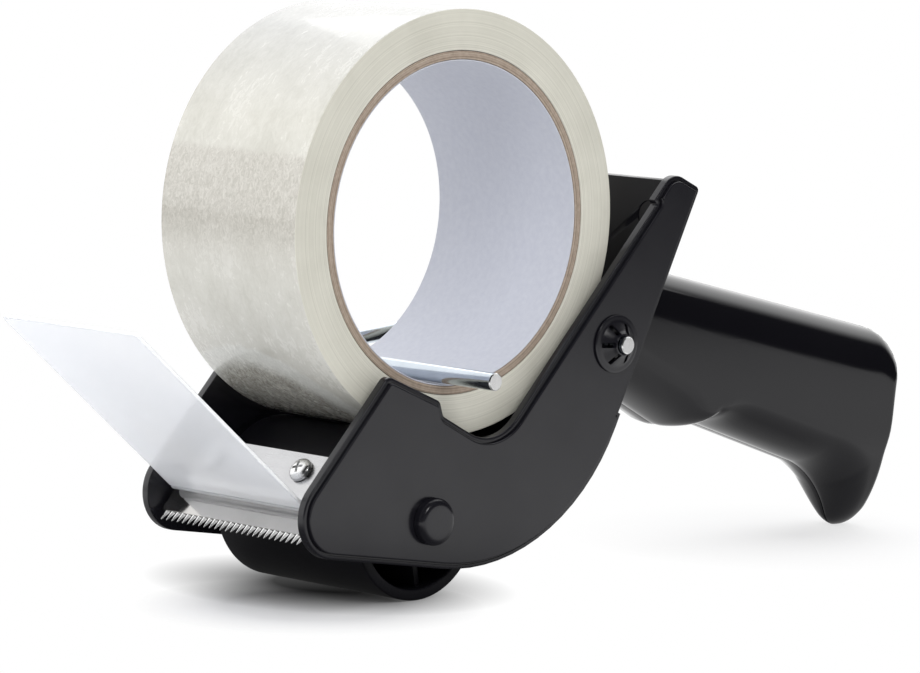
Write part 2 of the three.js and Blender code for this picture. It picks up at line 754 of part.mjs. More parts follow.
// A pan-head screw with a cross recess, its head's seat at 0 and its shank running down -Y.
function crossScrew(shankLength) {
  const r = screwHeadR;
  const h = screwHeadHeight;
  const profile = [
    [0, -shankLength],
    [screwShankR * 0.5, -shankLength],
    [screwShankR, -shankLength + 1.2],
    [screwShankR, 0],
    [r, 0],
    [r, 0.35 * h],
    [0.86 * r, 0.72 * h],
    [0.55 * r, 0.94 * h],
    [0, h],
  ];
  const arm = new THREE.BoxGeometry(0.62, 1.6, 2.9);
  const across = arm.clone().rotateY(Math.PI / 2);
  return solid(turnedY(profile, new THREE.Vector2(), 12))
    .subtract(solid(arm.translate(0, h, 0)))
    .subtract(solid(across.translate(0, h, 0)));
}

function stackScrew(side) {
  const seat = clampLow + clampThick + seatGap;
  const screw = geometryOf(crossScrew(seat - (stackFace - noseBarThick) - 0.6));
  return onStack(screw.rotateX(Math.PI / 2).translate(stackScrewU, side * stackScrewY, seat));
}

function shellScrew(place, seat) {
  const screw = geometryOf(crossScrew(seat + screwBiteDepth));
  return screw.translate(place.x, seat + seatGap, place.y);
}

// ---------------------------------------------------------------- roller and axle

// The drum, its hub, a middle disc and radial ribs are one moulding.
function rollerDrum() {
  const half = rollerLength / 2;
  const inner = rollerR - rollerWall;
  const bore = axleR + boreGap;
  const hub = bore + rollerHubWall;
  const edge = 0.6;
  const disc = 1;
  const profile = [
    [bore, -half + 0.5],
    [hub, -half + 0.5],
    [hub, -disc],
    [inner, -disc],
    [inner, -half],
    [rollerR - edge, -half],
    [rollerR, -half + edge],
    [rollerR, half - edge],
    [rollerR - edge, half],
    [inner, half],
    [inner, disc],
    [hub, disc],
    [hub, half - 0.5],
    [bore, half - 0.5],
    [bore, -half + 0.5],
  ];
  let drum = solid(turnedY(profile, rollerAxis, 48));
  const reach = (inner + hub) / 2;
  const ribLength = rollerLength - 2 * rollerRibSetback;
  for (let i = 0; i < rollerRibCount; i += 1) {
    const rib = new THREE.BoxGeometry(inner - hub + 1, ribLength, rollerRibThick).translate(reach, 0, 0);
    rib.rotateY((2 * Math.PI * i) / rollerRibCount + 0.35).translate(rollerAxis.x, 0, rollerAxis.y);
    drum = drum.add(solid(rib));
  }
  return geometryOf(drum);
}

// Axle pin with a round head on the near side.
function axlePin() {
  const seat = -bodyHalfWidth - seatGap;
  const crown = seat - axleHeadHeight;
  const end = bodyHalfWidth + seatGap + axleHeadHeight - 1.6;
  return turnedY([
    [0, crown],
    [axleHeadR - 1.6, crown],
    [axleHeadR - 0.5, crown + 0.45],
    [axleHeadR, crown + 1.5],
    [axleHeadR, seat],
    [axleR, seat],
    [axleR, end - 0.5],
    [axleR - 0.5, end],
    [0, end],
  ], rollerAxis, 32);
}

// Cap pressed on the far end of the axle.
function axleCap() {
  const seat = bodyHalfWidth + seatGap;
  const crown = seat + axleHeadHeight;
  const blind = crown - 1.3;
  return turnedY([
    [0, blind],
    [axleR + 0.15, blind],
    [axleR + 0.15, seat],
    [axleHeadR, seat],
    [axleHeadR, crown - 1.5],
    [axleHeadR - 0.5, crown - 0.45],
    [axleHeadR - 1.6, crown],
    [0, crown],
  ], rollerAxis, 32);
}

// ---------------------------------------------------------------- wire arm

// One bent wire: pivot leg through both plates, a link outside the far plate, and the free leg.
function wireArm() {
  const linkY = bodyHalfWidth + boreGap + wireR;
  const pivotEnd = new THREE.Vector3(pivotAxis.x, -bodyHalfWidth - wireEndReach, pivotAxis.y);
  const legEnd = new THREE.Vector3(legAxis.x, -bodyHalfWidth - wireTipReach, legAxis.y);
  const elbowA = new THREE.Vector3(pivotAxis.x, linkY, pivotAxis.y);
  const elbowB = new THREE.Vector3(legAxis.x, linkY, legAxis.y);
  const link = new THREE.Vector3().subVectors(elbowB, elbowA).normalize();
  const toNear = new THREE.Vector3(0, -1, 0);
  const flat = new THREE.Vector3().crossVectors(toNear, link);
  const ringAt = (centre, along, r) => {
    const across = new THREE.Vector3().crossVectors(flat, along);
    return Array.from({ length: wireSides }, (_, k) => {
      const a = (2 * Math.PI * k) / wireSides;
      const out = across.clone().multiplyScalar(Math.cos(a)).addScaledVector(flat, Math.sin(a));
      return centre.clone().addScaledVector(out, r);
    });
  };
  const bend = (elbow, from, to) => Array.from({ length: 7 }, (_, k) => {
    const a = (Math.PI / 2) * (k / 6);
    const along = from.clone().multiplyScalar(Math.cos(a)).addScaledVector(to, Math.sin(a));
    const centre = elbow.clone()
      .addScaledVector(from, -wireBendR * (1 - Math.sin(a)))
      .addScaledVector(to, wireBendR * (1 - Math.cos(a)));
    return ringAt(centre, along, wireR);
  });
  const away = toNear.clone().negate();
  const chamfer = 0.5;
  return loft([
    ringAt(pivotEnd, away, wireR - chamfer),
    ringAt(pivotEnd.clone().addScaledVector(away, chamfer), away, wireR),
    ...bend(elbowA, away, link),
    ...bend(elbowB, link, toNear),
    ringAt(legEnd.clone().addScaledVector(away, chamfer), toNear, wireR),
    ringAt(legEnd, toNear, wireR - chamfer),
  ]);
}

// Push-on retainer: a dished disc with radial slots round the hole that grips the wire.
function starRetainer() {
  const seat = -bodyHalfWidth - seatGap;
  const bore = wireR + 0.15;
  const rise = 1.7;
  const profile = [
    [bore, seat - rise - 0.5],
    [bore + 1, seat - rise],
    [retainerR * 0.6, seat - rise + 0.1],
    [retainerR * 0.85, seat - 0.9],
    [retainerR, seat - 0.8],
    [retainerR, seat],
    [retainerR * 0.82, seat],
    [retainerR * 0.58, seat - rise + 0.85],
    [bore + 1, seat - rise + 0.8],
    [bore, seat - rise + 0.3],
    [bore, seat - rise - 0.5],
  ];
  let disc = solid(turnedY(profile, pivotAxis, 32));
  const slots = 8;
  const slotFrom = bore + 0.55;
  const slotTo = retainerR * 0.74;
  for (let i = 0; i < slots; i += 1) {
    const slot = new THREE.BoxGeometry(slotTo - slotFrom, 6, 0.8);
    slot.translate((slotFrom + slotTo) / 2, seat, 0);
    slot.rotateY((2 * Math.PI * (i + 0.5)) / slots).translate(pivotAxis.x, 0, pivotAxis.y);
    disc = disc.subtract(solid(slot));
  }
  return geometryOf(disc);
}

// ---------------------------------------------------------------- tape roll

function ringAboutRoll(inner, outer, width) {
  const half = width / 2;
  return turnedY([
    [inner, -half],
    [outer, -half],
    [outer, half],
    [inner, half],
    [inner, -half],
  ], rollAxis, 72);
}

const paperGap = 0.1;
const cardInnerR = coreInnerR + linerThick + paperGap;
const cardOuterR = coreInnerR + coreWall;

// ---------------------------------------------------------------- assembly

const finishes = {
  bodyPlastic: { color: 0x232326, roughness: 0.38, metalness: 0 },
  rollerPlastic: { color: 0x1b1b1c, roughness: 0.5, metalness: 0 },
  steel: { color: 0xc9cacc, roughness: 0.22, metalness: 1 },
  zinc: { color: 0xb9c4cc, roughness: 0.28, metalness: 1 },
  clearSheet: { color: 0xeef0f4, roughness: 0.12, metalness: 0 },
  tape: { color: 0xdedccf, roughness: 0.3, metalness: 0 },
  card: { color: 0xa39078, roughness: 0.9, metalness: 0 },
  paper: { color: 0xdcdde6, roughness: 0.85, metalness: 0 },
};

const dispenser = new THREE.Group();

function place(name, geometry, finish) {
  const mesh = new THREE.Mesh(geometry, new THREE.MeshStandardMaterial(finishes[finish]));
  mesh.name = name;
  dispenser.add(mesh);
}

place("body_near", bodyHalf(-1), "bodyPlastic");
place("body_far", bodyHalf(1), "bodyPlastic");
gripScrews.forEach((p, i) => place(`grip_screw_${i + 1}`, shellScrew(p, gripScrewSeat), "zinc"));
place("heel_screw", shellScrew(heelScrew, heelScrewSeat), "zinc");

place("blade", blade(), "steel");
const clampSheet = drilledSheet(clampLowU, stackTopU, bladeHalf, clampLow, clampThick, 0.6);
place("clamp_plate", onStack(clampSheet), "steel");
place("flap_flange", flapFlange(), "clearSheet");
place("tape_flap", flapSheet(), "clearSheet");
place("blade_screw_near", stackScrew(-1), "steel");
place("blade_screw_far", stackScrew(1), "steel");

place("roller_drum", rollerDrum(), "rollerPlastic");
place("roller_axle", axlePin(), "rollerPlastic");
place("axle_cap", axleCap(), "rollerPlastic");

place("wire_arm", wireArm(), "zinc");
place("star_retainer", starRetainer(), "rollerPlastic");

place("wound_tape", ringAboutRoll(cardOuterR + paperGap, rollR, tapeWidth), "tape");
place("card_core", ringAboutRoll(cardInnerR, cardOuterR, tapeWidth), "card");
place("core_liner", ringAboutRoll(coreInnerR, coreInnerR + linerThick, tapeWidth - 2 * seatGap), "paper");

// The origin is the middle of the part's box, on the surface that it stands on.
const box = new THREE.Box3().setFromObject(dispenser);
const middle = box.getCenter(new THREE.Vector3());
dispenser.position.set(-middle.x, -middle.y, 0);

export default dispenser;
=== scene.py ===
# %% [markdown]
# # Packing-tape dispenser
# A hand-held dispenser has two black mouldings that meet in the middle. Together they make two side
# plates, a rear wall, a bar for the cutter and a hollow grip. A roll of tape stands on a drum roller
# between the plates, and a bent wire through its core keeps it there. This script gives every piece
# its finished form and finish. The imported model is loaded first, because all sizes come from it.

# %% Load the frame
import cmath
import json
import math

import bmesh
import bpy
from mathutils import Matrix, Vector


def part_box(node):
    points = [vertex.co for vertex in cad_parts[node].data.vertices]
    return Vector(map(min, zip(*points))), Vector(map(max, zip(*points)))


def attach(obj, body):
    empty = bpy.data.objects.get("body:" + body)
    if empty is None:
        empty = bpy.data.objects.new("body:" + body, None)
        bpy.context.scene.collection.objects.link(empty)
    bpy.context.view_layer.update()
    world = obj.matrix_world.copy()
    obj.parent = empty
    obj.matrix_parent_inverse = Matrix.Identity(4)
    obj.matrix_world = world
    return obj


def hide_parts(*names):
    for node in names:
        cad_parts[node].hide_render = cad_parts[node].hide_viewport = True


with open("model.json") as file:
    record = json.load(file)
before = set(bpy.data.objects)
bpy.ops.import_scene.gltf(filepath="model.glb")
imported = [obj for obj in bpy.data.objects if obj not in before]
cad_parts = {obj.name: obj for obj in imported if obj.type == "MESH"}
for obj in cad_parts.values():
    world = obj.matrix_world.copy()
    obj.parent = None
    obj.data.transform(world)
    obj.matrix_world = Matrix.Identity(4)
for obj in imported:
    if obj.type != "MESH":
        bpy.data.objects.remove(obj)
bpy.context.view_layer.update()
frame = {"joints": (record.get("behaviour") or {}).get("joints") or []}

# %% [markdown]
# ## Where things are
# Nearly every form here is an outline in the side view, carried across the width. A complex number is
# a handy point for that: its real part runs from the cutter to the grip and its imaginary part is the
# height. The lengths are in millimetres, with the roller's axis at zero, and `spot` turns them into
# metres in the frame at the very end. The axes come from the joints, so nothing is fitted by eye.

# %% Axes and main sizes, taken from the frame
MM = 0.001
joints = {j["name"]: Vector(j["pos_m"]) for j in frame["joints"]}
mid = Vector((joints["roller_spin"].x, joints["roller_spin"].y, 0))


def side(point):
    """A point of the frame, seen from the side, as a complex number in millimetres."""
    return complex(point.x - mid.x, point.z) / MM


def spot(point, y):
    """A place in the frame, in metres, from a side-view point and a distance from the middle."""
    return mid + Vector((point.real, y, point.imag)) * MM


def size_mm(node):
    low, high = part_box(node)
    return (high - low) / MM


roller_axis, roll_axis = side(joints["roller_spin"]), side(joints["roll_spin"])
pivot_axis, crease = side(joints["arm_swing"]), side(joints["flap_flex"])
roller_r = size_mm("roller_drum").z / 2
roll_r = size_mm("wound_tape").z / 2
tape_width = size_mm("wound_tape").y
core_r = size_mm("card_core").z / 2
hole_r = size_mm("core_liner").z / 2
body_half = (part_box("body_far")[1].y - mid.y) / MM
PLATE_THICK = 3.0
bay_half = body_half - PLATE_THICK
SIDES = (("near", -1), ("far", 1))
print("roll", round(roll_r, 2), "roller", round(roller_r, 2), "half width", round(body_half, 2))

# %% [markdown]
# ## Outlines with filleted corners
# A moulded edge is straight lines joined by fillets. Each corner is a point and a radius. The same
# corners can be moved inwards, and because a fillet always gets the same number of points, the moved
# outline has as many points as the first one. A skin of quads can then run from one to the next,
# which is how all rounded edges of the plates are made, without any bevel that could go wrong.


# %% Helpers for outlines
def turned(degrees):
    return cmath.rect(1, math.radians(degrees))


def cross(a, b):
    return (a.conjugate() * b).imag


def meet(a, along_a, b, along_b):
    """Where two lines cross, each given by a point and a direction."""
    return a + along_a * cross(b - a, along_b) / cross(along_a, along_b)


def circle(centre, radius, count=40):
    return [centre + radius * turned(360 * k / count) for k in range(count)]


def rectangle(x0, y0, x1, y1):
    return [complex(x0, y0), complex(x1, y0), complex(x1, y1), complex(x0, y1)]


def quarter_turn(steps):
    """Angles from 0 to a right angle, in radians."""
    return [k / steps * math.pi / 2 for k in range(steps + 1)]


def moved_in(corners, distance):
    """The corners of an anticlockwise outline with every edge moved inwards."""
    points = [p for p, _ in corners]
    along = [after - point for point, after in zip(points, points[1:] + points[:1])]
    along = [a / abs(a) for a in along]
    result = []
    for i, (point, radius) in enumerate(corners):
        before, after = along[i - 1], along[i]
        bend = cross(before, after)
        here = meet(point + before * 1j * distance, before, point + after * 1j * distance, after)
        result.append((here, max(radius - math.copysign(distance, bend), 0.02)))
    return result


def outline(corners, inset=0.0, step=5.0):
    """Points along a closed outline. A corner with no radius stays one point."""
    placed = moved_in(corners, inset)
    count = len(placed)
    points = []
    for i, (point, radius) in enumerate(placed):
        if corners[i][1] <= 0:
            points.append(point)
            continue
        back = placed[i - 1][0] - point
        on = placed[(i + 1) % count][0] - point
        back, on = back / abs(back), on / abs(on)
        half = math.acos(max(-1, min(1, (back.conjugate() * on).real))) / 2
        centre = point + (back + on) / abs(back + on) * radius / math.sin(half)
        start = point + back * radius / math.tan(half) - centre
        end = point + on * radius / math.tan(half) - centre
        turn = cmath.phase(end / start)
        steps = max(3, math.ceil(abs(math.degrees(turn)) / step - 0.01))
        points += [centre + start * cmath.rect(1, turn * k / steps) for k in range(steps + 1)]
    return points


# %% [markdown]
# ## From outlines to meshes
# `skin` lays quads over a row of rings and closes both ends. `lathe` turns a profile about the Y axis.
# Both write their points straight in the frame, so a finished object always sits at the origin, and
# recalculating the normals makes every face point outwards. A lathed piece also gets a UV map in
# metres, round and along the profile, for finishes that follow the turning.


# %% Helpers for meshes
SAME_PLACE, SHARP_FROM = 1e-7, 35


def object_from(name, mesh):
    piece = bpy.data.objects.new(name, mesh)
    bpy.context.scene.collection.objects.link(piece)
    return piece


def written(bm, name):
    """The finished mesh of a construction, with its normals outwards."""
    bmesh.ops.recalc_face_normals(bm, faces=bm.faces)
    mesh = bpy.data.meshes.new(name)
    bm.to_mesh(mesh)
    bm.free()
    return mesh


def merged(bm):
    bmesh.ops.remove_doubles(bm, verts=bm.verts, dist=SAME_PLACE)
    return bm


def smooth(piece, degrees=30):
    piece.data.shade_smooth()
    piece.data.set_sharp_from_angle(angle=math.radians(degrees))
    return piece


def skin(name, rings):
    """Quads over rings of equally many points, with both ends capped."""
    bm = bmesh.new()
    rows = [[bm.verts.new(p) for p in ring] for ring in rings]
    for low, high in zip(rows, rows[1:]):
        for k in range(len(low)):
            after = (k + 1) % len(low)
            bm.faces.new((low[k], low[after], high[after], high[k]))
    bm.faces.new(rows[0])
    bm.faces.new(rows[-1])
    return smooth(object_from(name, written(merged(bm), name)))


def lathe(name, profile, axis, segments=96, closed=False, degrees=30):
    """A turned piece: profile of (radius, y) in millimetres about a side-view point."""
    bm = bmesh.new()
    chart = bm.loops.layers.uv.new("turning")
    path = profile + profile[:1] if closed else profile
    run = [0.0]
    for (r0, y0), (r1, y1) in zip(path, path[1:]):
        run.append(run[-1] + math.hypot(r1 - r0, y1 - y0))
    rows = []
    for r, y in profile:
        if r < 1e-6:
            rows.append([bm.verts.new(spot(axis, y))])
            continue
        rows.append([bm.verts.new(spot(p, y)) for p in circle(axis, r, segments)])
    for i, (low, high) in enumerate(zip(rows, rows[1:] + rows[:1] if closed else rows[1:])):
        for k in range(segments):
            after = (k + 1) % segments
            ring = [low[k % len(low)], low[after % len(low)], high[after % len(high)], high[k % len(high)]]
            face = bm.faces.new(list(dict.fromkeys(ring)))
            for loop in face.loops:
                row, along = (low, run[i]) if loop.vert in low else (high, run[i + 1])
                column = row.index(loop.vert)
                across = k + 1 if column == after == 0 else column
                if len(row) == 1:
                    across = k + 0.5
                around = across / segments * 2 * math.pi * roll_r * MM
                loop[chart].uv = (around, along * MM)
    return smooth(object_from(name, written(bm, name)), degrees)


def rounded_profile(points, radius, steps=4):
    """A profile of (radius, y) pairs with its inner corners rounded."""
    result = [points[0]]
    for before, here, after in zip(points, points[1:], points[2:]):
        p, a, b = complex(*here), complex(*before), complex(*after)
        reach = min(radius, abs(a - p) / 2.05, abs(b - p) / 2.05)
        start, end = p + (a - p) / abs(a - p) * reach, p + (b - p) / abs(b - p) * reach
        for k in range(steps + 1):
            t = k / steps
            q = start * (1 - t) ** 2 + p * 2 * t * (1 - t) + end * t**2
            result.append((q.real, q.imag))
    return result + [points[-1]]


def keep_modifiers(piece):
    """Turns a piece with its modifiers into a plain mesh."""
    graph = bpy.context.evaluated_depsgraph_get()
    mesh = bpy.data.meshes.new_from_object(piece.evaluated_get(graph), depsgraph=graph)
    piece.modifiers.clear()
    piece.data = mesh
    return piece


def soften(piece, width, segments=3):
    """A small rounding on every sharp edge."""
    edge = piece.modifiers.new("rounding", "BEVEL")
    edge.width, edge.segments = width * MM, segments
    edge.limit_method, edge.angle_limit = "ANGLE", math.radians(SHARP_FROM)
    edge.harden_normals = True
    return keep_modifiers(piece)


def cut(piece, *tools, operation="DIFFERENCE"):
    """Cuts the tools out of a piece, and throws them away."""
    for tool in tools:
        step = piece.modifiers.new("cut", "BOOLEAN")
        step.object, step.operation, step.solver = tool, operation, "EXACT"
        keep_modifiers(piece)
        bpy.data.objects.remove(tool)
    return smooth(piece)


def prism(name, loop, y0, y1):
    """An outline in the side view, carried from one distance across to another."""
    return skin(name, [[spot(p, y) for p in loop] for y in (y0, y1)])


def bar(name, point, radius, y0, y1, segments=48):
    """A round bar across the width, for bosses, holes and wells."""
    return prism(name, circle(point, radius, segments), y0, y1)


made = []


def finish_piece(piece, body, slot, *nodes):
    """Sets a piece on the body it rides on and hides the nodes that it stands for; the slot is not used."""
    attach(piece, body)
    if nodes:
        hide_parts(*nodes)
    made.append(piece.name)
    print(piece.name, "triangles:", sum(len(p.vertices) - 2 for p in piece.data.polygons))
    return piece


# %% [markdown]
# ## Finishes
# A finish is a small node tree on the Principled shader. Numbers that are the same all over stay on
# the shader's own sockets. What varies, such as moulding haze, brushing or paper fibre, comes from
# noise in Object coordinates, which are the frame's metres, so a scale of 1000 means one millimetre.


# %% Helpers for node trees
def add_node(tree, kind, inputs=None, **settings):
    """A new node: its settings first, then each input, linked if it's another node's output."""
    node = tree.nodes.new(kind)
    for key, value in settings.items():
        setattr(node, key, value)
    for key, value in (inputs or {}).items():
        if hasattr(value, "is_output"):
            tree.links.new(value, node.inputs[key])
        else:
            node.inputs[key].default_value = value
    return node


class Finish:
    """A material under construction, with short names for the nodes that this script uses."""

    def __init__(self, name, **sockets):
        self.material = bpy.data.materials.new(name)
        self.material.use_nodes = True
        self.tree = self.material.node_tree
        self.shader = self.tree.nodes["Principled BSDF"]
        self.output = self.tree.nodes["Material Output"]
        for key, value in sockets.items():
            self.shader.inputs[key.replace("_", " ")].default_value = value

    def add(self, kind, inputs=None, **settings):
        return add_node(self.tree, kind, inputs, **settings)

    def where(self, stretch=(1, 1, 1), shift=(0, 0, 0)):
        """Object coordinates, stretched for a grain that runs one way."""
        place = self.add("ShaderNodeTexCoord").outputs["Object"]
        inputs = {"Vector": place, "Scale": stretch, "Location": shift}
        return self.add("ShaderNodeMapping", inputs).outputs["Vector"]

    def noise(self, vector, scale, detail=3.0, rough=0.5, distortion=0.0):
        inputs = {"Vector": vector, "Scale": scale, "Detail": detail, "Roughness": rough}
        inputs["Distortion"] = distortion
        return self.add("ShaderNodeTexNoise", inputs).outputs["Fac"]

    def between(self, value, low, high, start=0.3, end=0.7):
        """A number that runs from low to high as a noise value runs from start to end."""
        inputs = {"Value": value, "From Min": start, "From Max": end, "To Min": low, "To Max": high}
        return self.add("ShaderNodeMapRange", inputs).outputs["Result"]

    def colours(self, value, stops):
        """A colour ramp: stops of (place, (r, g, b))."""
        ramp = self.add("ShaderNodeValToRGB", {"Fac": value})
        bar = ramp.color_ramp
        while len(bar.elements) < len(stops):
            bar.elements.new(0.5)
        for element, (place, colour) in zip(bar.elements, stops):
            element.position, element.color = place, (*colour, 1)
        return ramp.outputs["Color"]

    def sum_of(self, *values):
        total = values[0]
        for value in values[1:]:
            total = self.add("ShaderNodeMath", {0: total, 1: value}, operation="ADD").outputs[0]
        return total

    def times(self, a, b, operation="MULTIPLY"):
        return self.add("ShaderNodeMath", {0: a, 1: b}, operation=operation).outputs[0]

    def set(self, key, value):
        self.tree.links.new(value, self.shader.inputs[key])

    def bump(self, height, depth, strength=1.0):
        """Raises the surface by up to depth millimetres where height is 1."""
        inputs = {"Height": height, "Distance": depth * MM, "Strength": strength}
        self.set("Normal", self.add("ShaderNodeBump", inputs).outputs["Normal"])


def dress(piece, *materials):
    piece.data.materials.clear()
    for material in materials:
        piece.data.materials.append(material)
    return piece


# %% [markdown]
# ## Black plastic
# The mouldings are black ABS. The plates have a satin face that is almost even, with the faint haze
# and fine grain that a polished mould leaves, and the grip is glossy. One maker serves both, with the
# roughness as its argument. The roller is a plainer, duller moulding.


# %% The black plastics
def black_plastic(name, low, high, grain, shade, mirror=0.5):
    """Black moulding: its range of roughness, the depth of its grain, its grey and its shine."""
    mix = Finish(name, Specular_IOR_Level=mirror)
    cloud = mix.noise(mix.where(), 55, 4)
    mix.set("Roughness", mix.between(cloud, low, high))
    tint = [(0.3, (shade, shade * 0.97, shade * 1.35)), (0.7, (shade * 1.3, shade * 1.25, shade * 1.65))]
    mix.set("Base Color", mix.colours(mix.noise(mix.where(), 21, 3), tint))
    mix.bump(mix.noise(mix.where(), 1400, 2), grain)
    return mix.material


satin_black = black_plastic("satin_black", 0.20, 0.27, 0.004, 0.007)
gloss_black = black_plastic("gloss_black", 0.06, 0.10, 0.001, 0.004, 0.34)
inner_black = black_plastic("inner_black", 0.14, 0.32, 0.003, 0.005, 0.28)
dull_black = black_plastic("dull_black", 0.34, 0.42, 0.008, 0.005, 0.2)
print("black plastics ready")

# %% [markdown]
# ## The plate's outline
# The side plate is laid out round the two things that it holds. A corner is placed by its angle and
# its distance outside the roller or outside the full roll, and the long straight edges by their
# slope. The ear at the top stands a small step in front of the long front edge, the notch frees the
# wire's leg, and a low lip stands out along the lower part of the rear edge.

# %% Corners of the side plate
FRONT_SLOPE, REAR_SLOPE, BOTTOM_SLOPE, EAR_SLOPE, NOTCH_SLOPE = 47.2, 63.8, -8.8, -25.6, -28.2
LIP_DOWN, LIP_OUT, EAR_OUT = 59.3, 0.8, 1.2


def around_roll(degrees, gap):
    return roll_axis + (roll_r + gap) * turned(degrees)


def around_roller(degrees, gap):
    return roller_axis + (roller_r + gap) * turned(degrees)


front_way, rear_way, bottom_way = turned(FRONT_SLOPE), turned(REAR_SLOPE), turned(BOTTOM_SLOPE)
nose = around_roller(184.2, 29.4)
rear_top = around_roll(4.05, 25.5)
lip_top = rear_top - rear_way * LIP_DOWN
lip_foot = lip_top + rear_way * -1j * LIP_OUT
heel = meet(nose, bottom_way, lip_foot, rear_way)
ear_foot = around_roll(2.05, 10.7)
ear_step = ear_foot + front_way * 1j * EAR_OUT
ear_top = meet(ear_step, front_way, rear_top, turned(EAR_SLOPE))
notch_step = around_roller(80.5, 5.3)
notch = meet(notch_step, turned(NOTCH_SLOPE), ear_foot, front_way)
plate_corners = [
    (nose, 9.8),
    (heel, 53.5),
    (lip_foot, 0),
    (lip_top, 0),
    (rear_top, 1.2),
    (ear_top, 5),
    (ear_step, 0.3),
    (ear_foot, 0.3),
    (notch, 12.5),
    (notch_step, 1.6),
    (around_roller(83.9, 8.7), 1.8),
    (around_roller(111, 18.1), 2.2),
]
print("plate outline:", len(outline(plate_corners)), "points")

# %% [markdown]
# ## Side plates
# Across its edge a plate goes from its inner face over a small rounding to a narrow ledge, down into
# a fine groove, and up to the raised panel. That profile is a list of pairs: how far in from the
# outline, and how far out from the middle. Each pair becomes one ring of the skin. A last ring just
# inside the panel's rounding keeps the shading of the big flat face even.

# %% Make the side plates
LEDGE_WIDE, LEDGE_LOW, GROOVE_DEEP = 1.35, 0.75, 0.22
INNER_ROUND, EDGE_ROUND, PANEL_ROUND = 0.15, 0.4, 0.22
AXLE_HOLE_R, PIVOT_HOLE_R, WELL_R = 4.3, 2.4, 3.4
HEEL_POST, HEEL_WELL = around_roller(8, 0), 27.8


def rounding(inset, y, radius, steps):
    """A quarter round that starts at an inset and ends at a distance from the middle."""
    turns = quarter_turn(steps)
    return [(inset + radius * (1 - math.cos(t)), y - radius * (1 - math.sin(t))) for t in turns]


def plate_profile():
    ledge_y = body_half - LEDGE_LOW
    groove_y = ledge_y - GROOVE_DEEP
    inner = [(0.5, bay_half), (INNER_ROUND, bay_half), (0.0, bay_half + INNER_ROUND)]
    groove = [(LEDGE_WIDE - 0.45, ledge_y), (LEDGE_WIDE - 0.38, groove_y), (LEDGE_WIDE, groove_y)]
    outer = rounding(0.0, ledge_y, EDGE_ROUND, 4)
    face = rounding(LEDGE_WIDE, body_half, PANEL_ROUND, 3)
    return inner + outer + groove + face + [(LEDGE_WIDE + PANEL_ROUND + 0.2, body_half)]


def side_plate(name, way):
    rings = [[spot(p, way * y) for p in outline(plate_corners, inset)] for inset, y in plate_profile()]
    inside, outside = way * (bay_half - 1), way * (body_half + 1)
    holes = ((roller_axis, AXLE_HOLE_R), (pivot_axis, PIVOT_HOLE_R))
    tools = [bar("tool", axis, radius, inside, outside) for axis, radius in holes]
    if way > 0:
        tools.append(bar("tool", HEEL_POST, WELL_R, HEEL_WELL, outside))
    return cut(skin(name, rings), *tools)


for end, way in SIDES:
    plate = dress(side_plate(f"side_plate_{end}", way), satin_black)
    finish_piece(plate, "body", "body", f"body_{end}")

# %% [markdown]
# ## Rear wall
# Each moulding carries half of the wall that closes the tape bay behind the roll. The wall follows
# the plate's rear edge and heel, and its upper part stands more upright. It is the plate's outline
# with the bay cut out of it, along with what lies ahead of the roller, above the wall's top and in
# the recess behind its upper part. An ejector pin has left a round mark near the top of each half.

# %% Make the rear wall
WALL, WALL_BEND_R, SEAM, OVERLAP, BEYOND = 3.3, 20, 0.15, 0.05, 40
PIN_R, PIN_DEEP, PIN_DOWN, PIN_IN = 3, 0.28, 8.3, 4.2
web_top = around_roll(6.6, 15.6)
web_way = turned(78)
wall_line = rear_top + rear_way * 1j * WALL
web_bend = meet(web_top, web_way, wall_line, rear_way)
bay_heel, bay_radius = moved_in(plate_corners, WALL)[1]
bay_heel = meet(bay_heel, bottom_way, wall_line, rear_way)
bay_front = bay_heel - bottom_way * 3 * roll_r
bay_top = web_top + web_way * BEYOND
bay = [
    (complex(bay_front.real, bay_top.imag), 0),
    (bay_front, 0),
    (bay_heel, bay_radius),
    (web_bend, WALL_BEND_R),
    (bay_top, 0),
]
web_back = web_top + web_way * -1j * WALL
recess = [
    meet(web_back, web_way, rear_top, rear_way),
    rear_top + rear_way * (BEYOND - 5j),
    web_back + web_way * BEYOND,
]
ahead = rectangle(-3 * roll_r, -roll_r, roller_r + 3, roll_axis.imag)
above = rectangle(roll_r, web_top.imag, 2 * roll_r, 3 * roll_r)


def pin_mark(y):
    """A short disc, square to the upper wall, that leaves a round mark."""
    centre, out = web_top - web_way * PIN_DOWN, web_way * -1j
    rings = []
    for deep in (-PIN_DEEP, PIN_DEEP):
        loop = circle(0j, PIN_R)
        rings.append([spot(centre + web_way * q.real + out * deep, y + q.imag) for q in loop])
    return skin("tool", rings)


def rear_wall(name, way):
    wall = prism(name, outline(plate_corners), way * SEAM, way * (bay_half + OVERLAP))
    wide = 2 * body_half
    tools = [prism("tool", loop, -wide, wide) for loop in (outline(bay), ahead, above, recess)]
    wall = soften(cut(wall, *tools), 0.3)
    return cut(wall, pin_mark(way * (bay_half - PIN_IN)))


for end, way in SIDES:
    wall = dress(rear_wall(f"rear_wall_{end}", way), inner_black)
    finish_piece(wall, "body", "body", f"body_{end}")

# %% [markdown]
# ## Grip
# The grip is moulded in two halves, and each is made here as one closed form. Seen from the side it
# has a straight top, a finger stop that ends in a crease, and a rear end that hooks down to the
# floor. Straight cuts run square to it, first in a row along the straight part and then as a fan
# into the hook. Each cut is one ring, whose width follows a rule for the edges above and below. The
# finger stop is wider than the rest, and the halves leave a fine seam between them.

# %% Corners of the grip in the side view
TOP_SLOPE, UNDER_SLOPE, HOOK_SLOPE = -13.7, -19, -68
STOP_DEEP, HOOK_R = 45.9, 24
grip_start = rear_top - rear_way * 19.9
top_way, hook_way, end_way = turned(TOP_SLOPE), turned(HOOK_SLOPE), turned(77)


def from_grip(back, down):
    return grip_start + complex(back, -down)


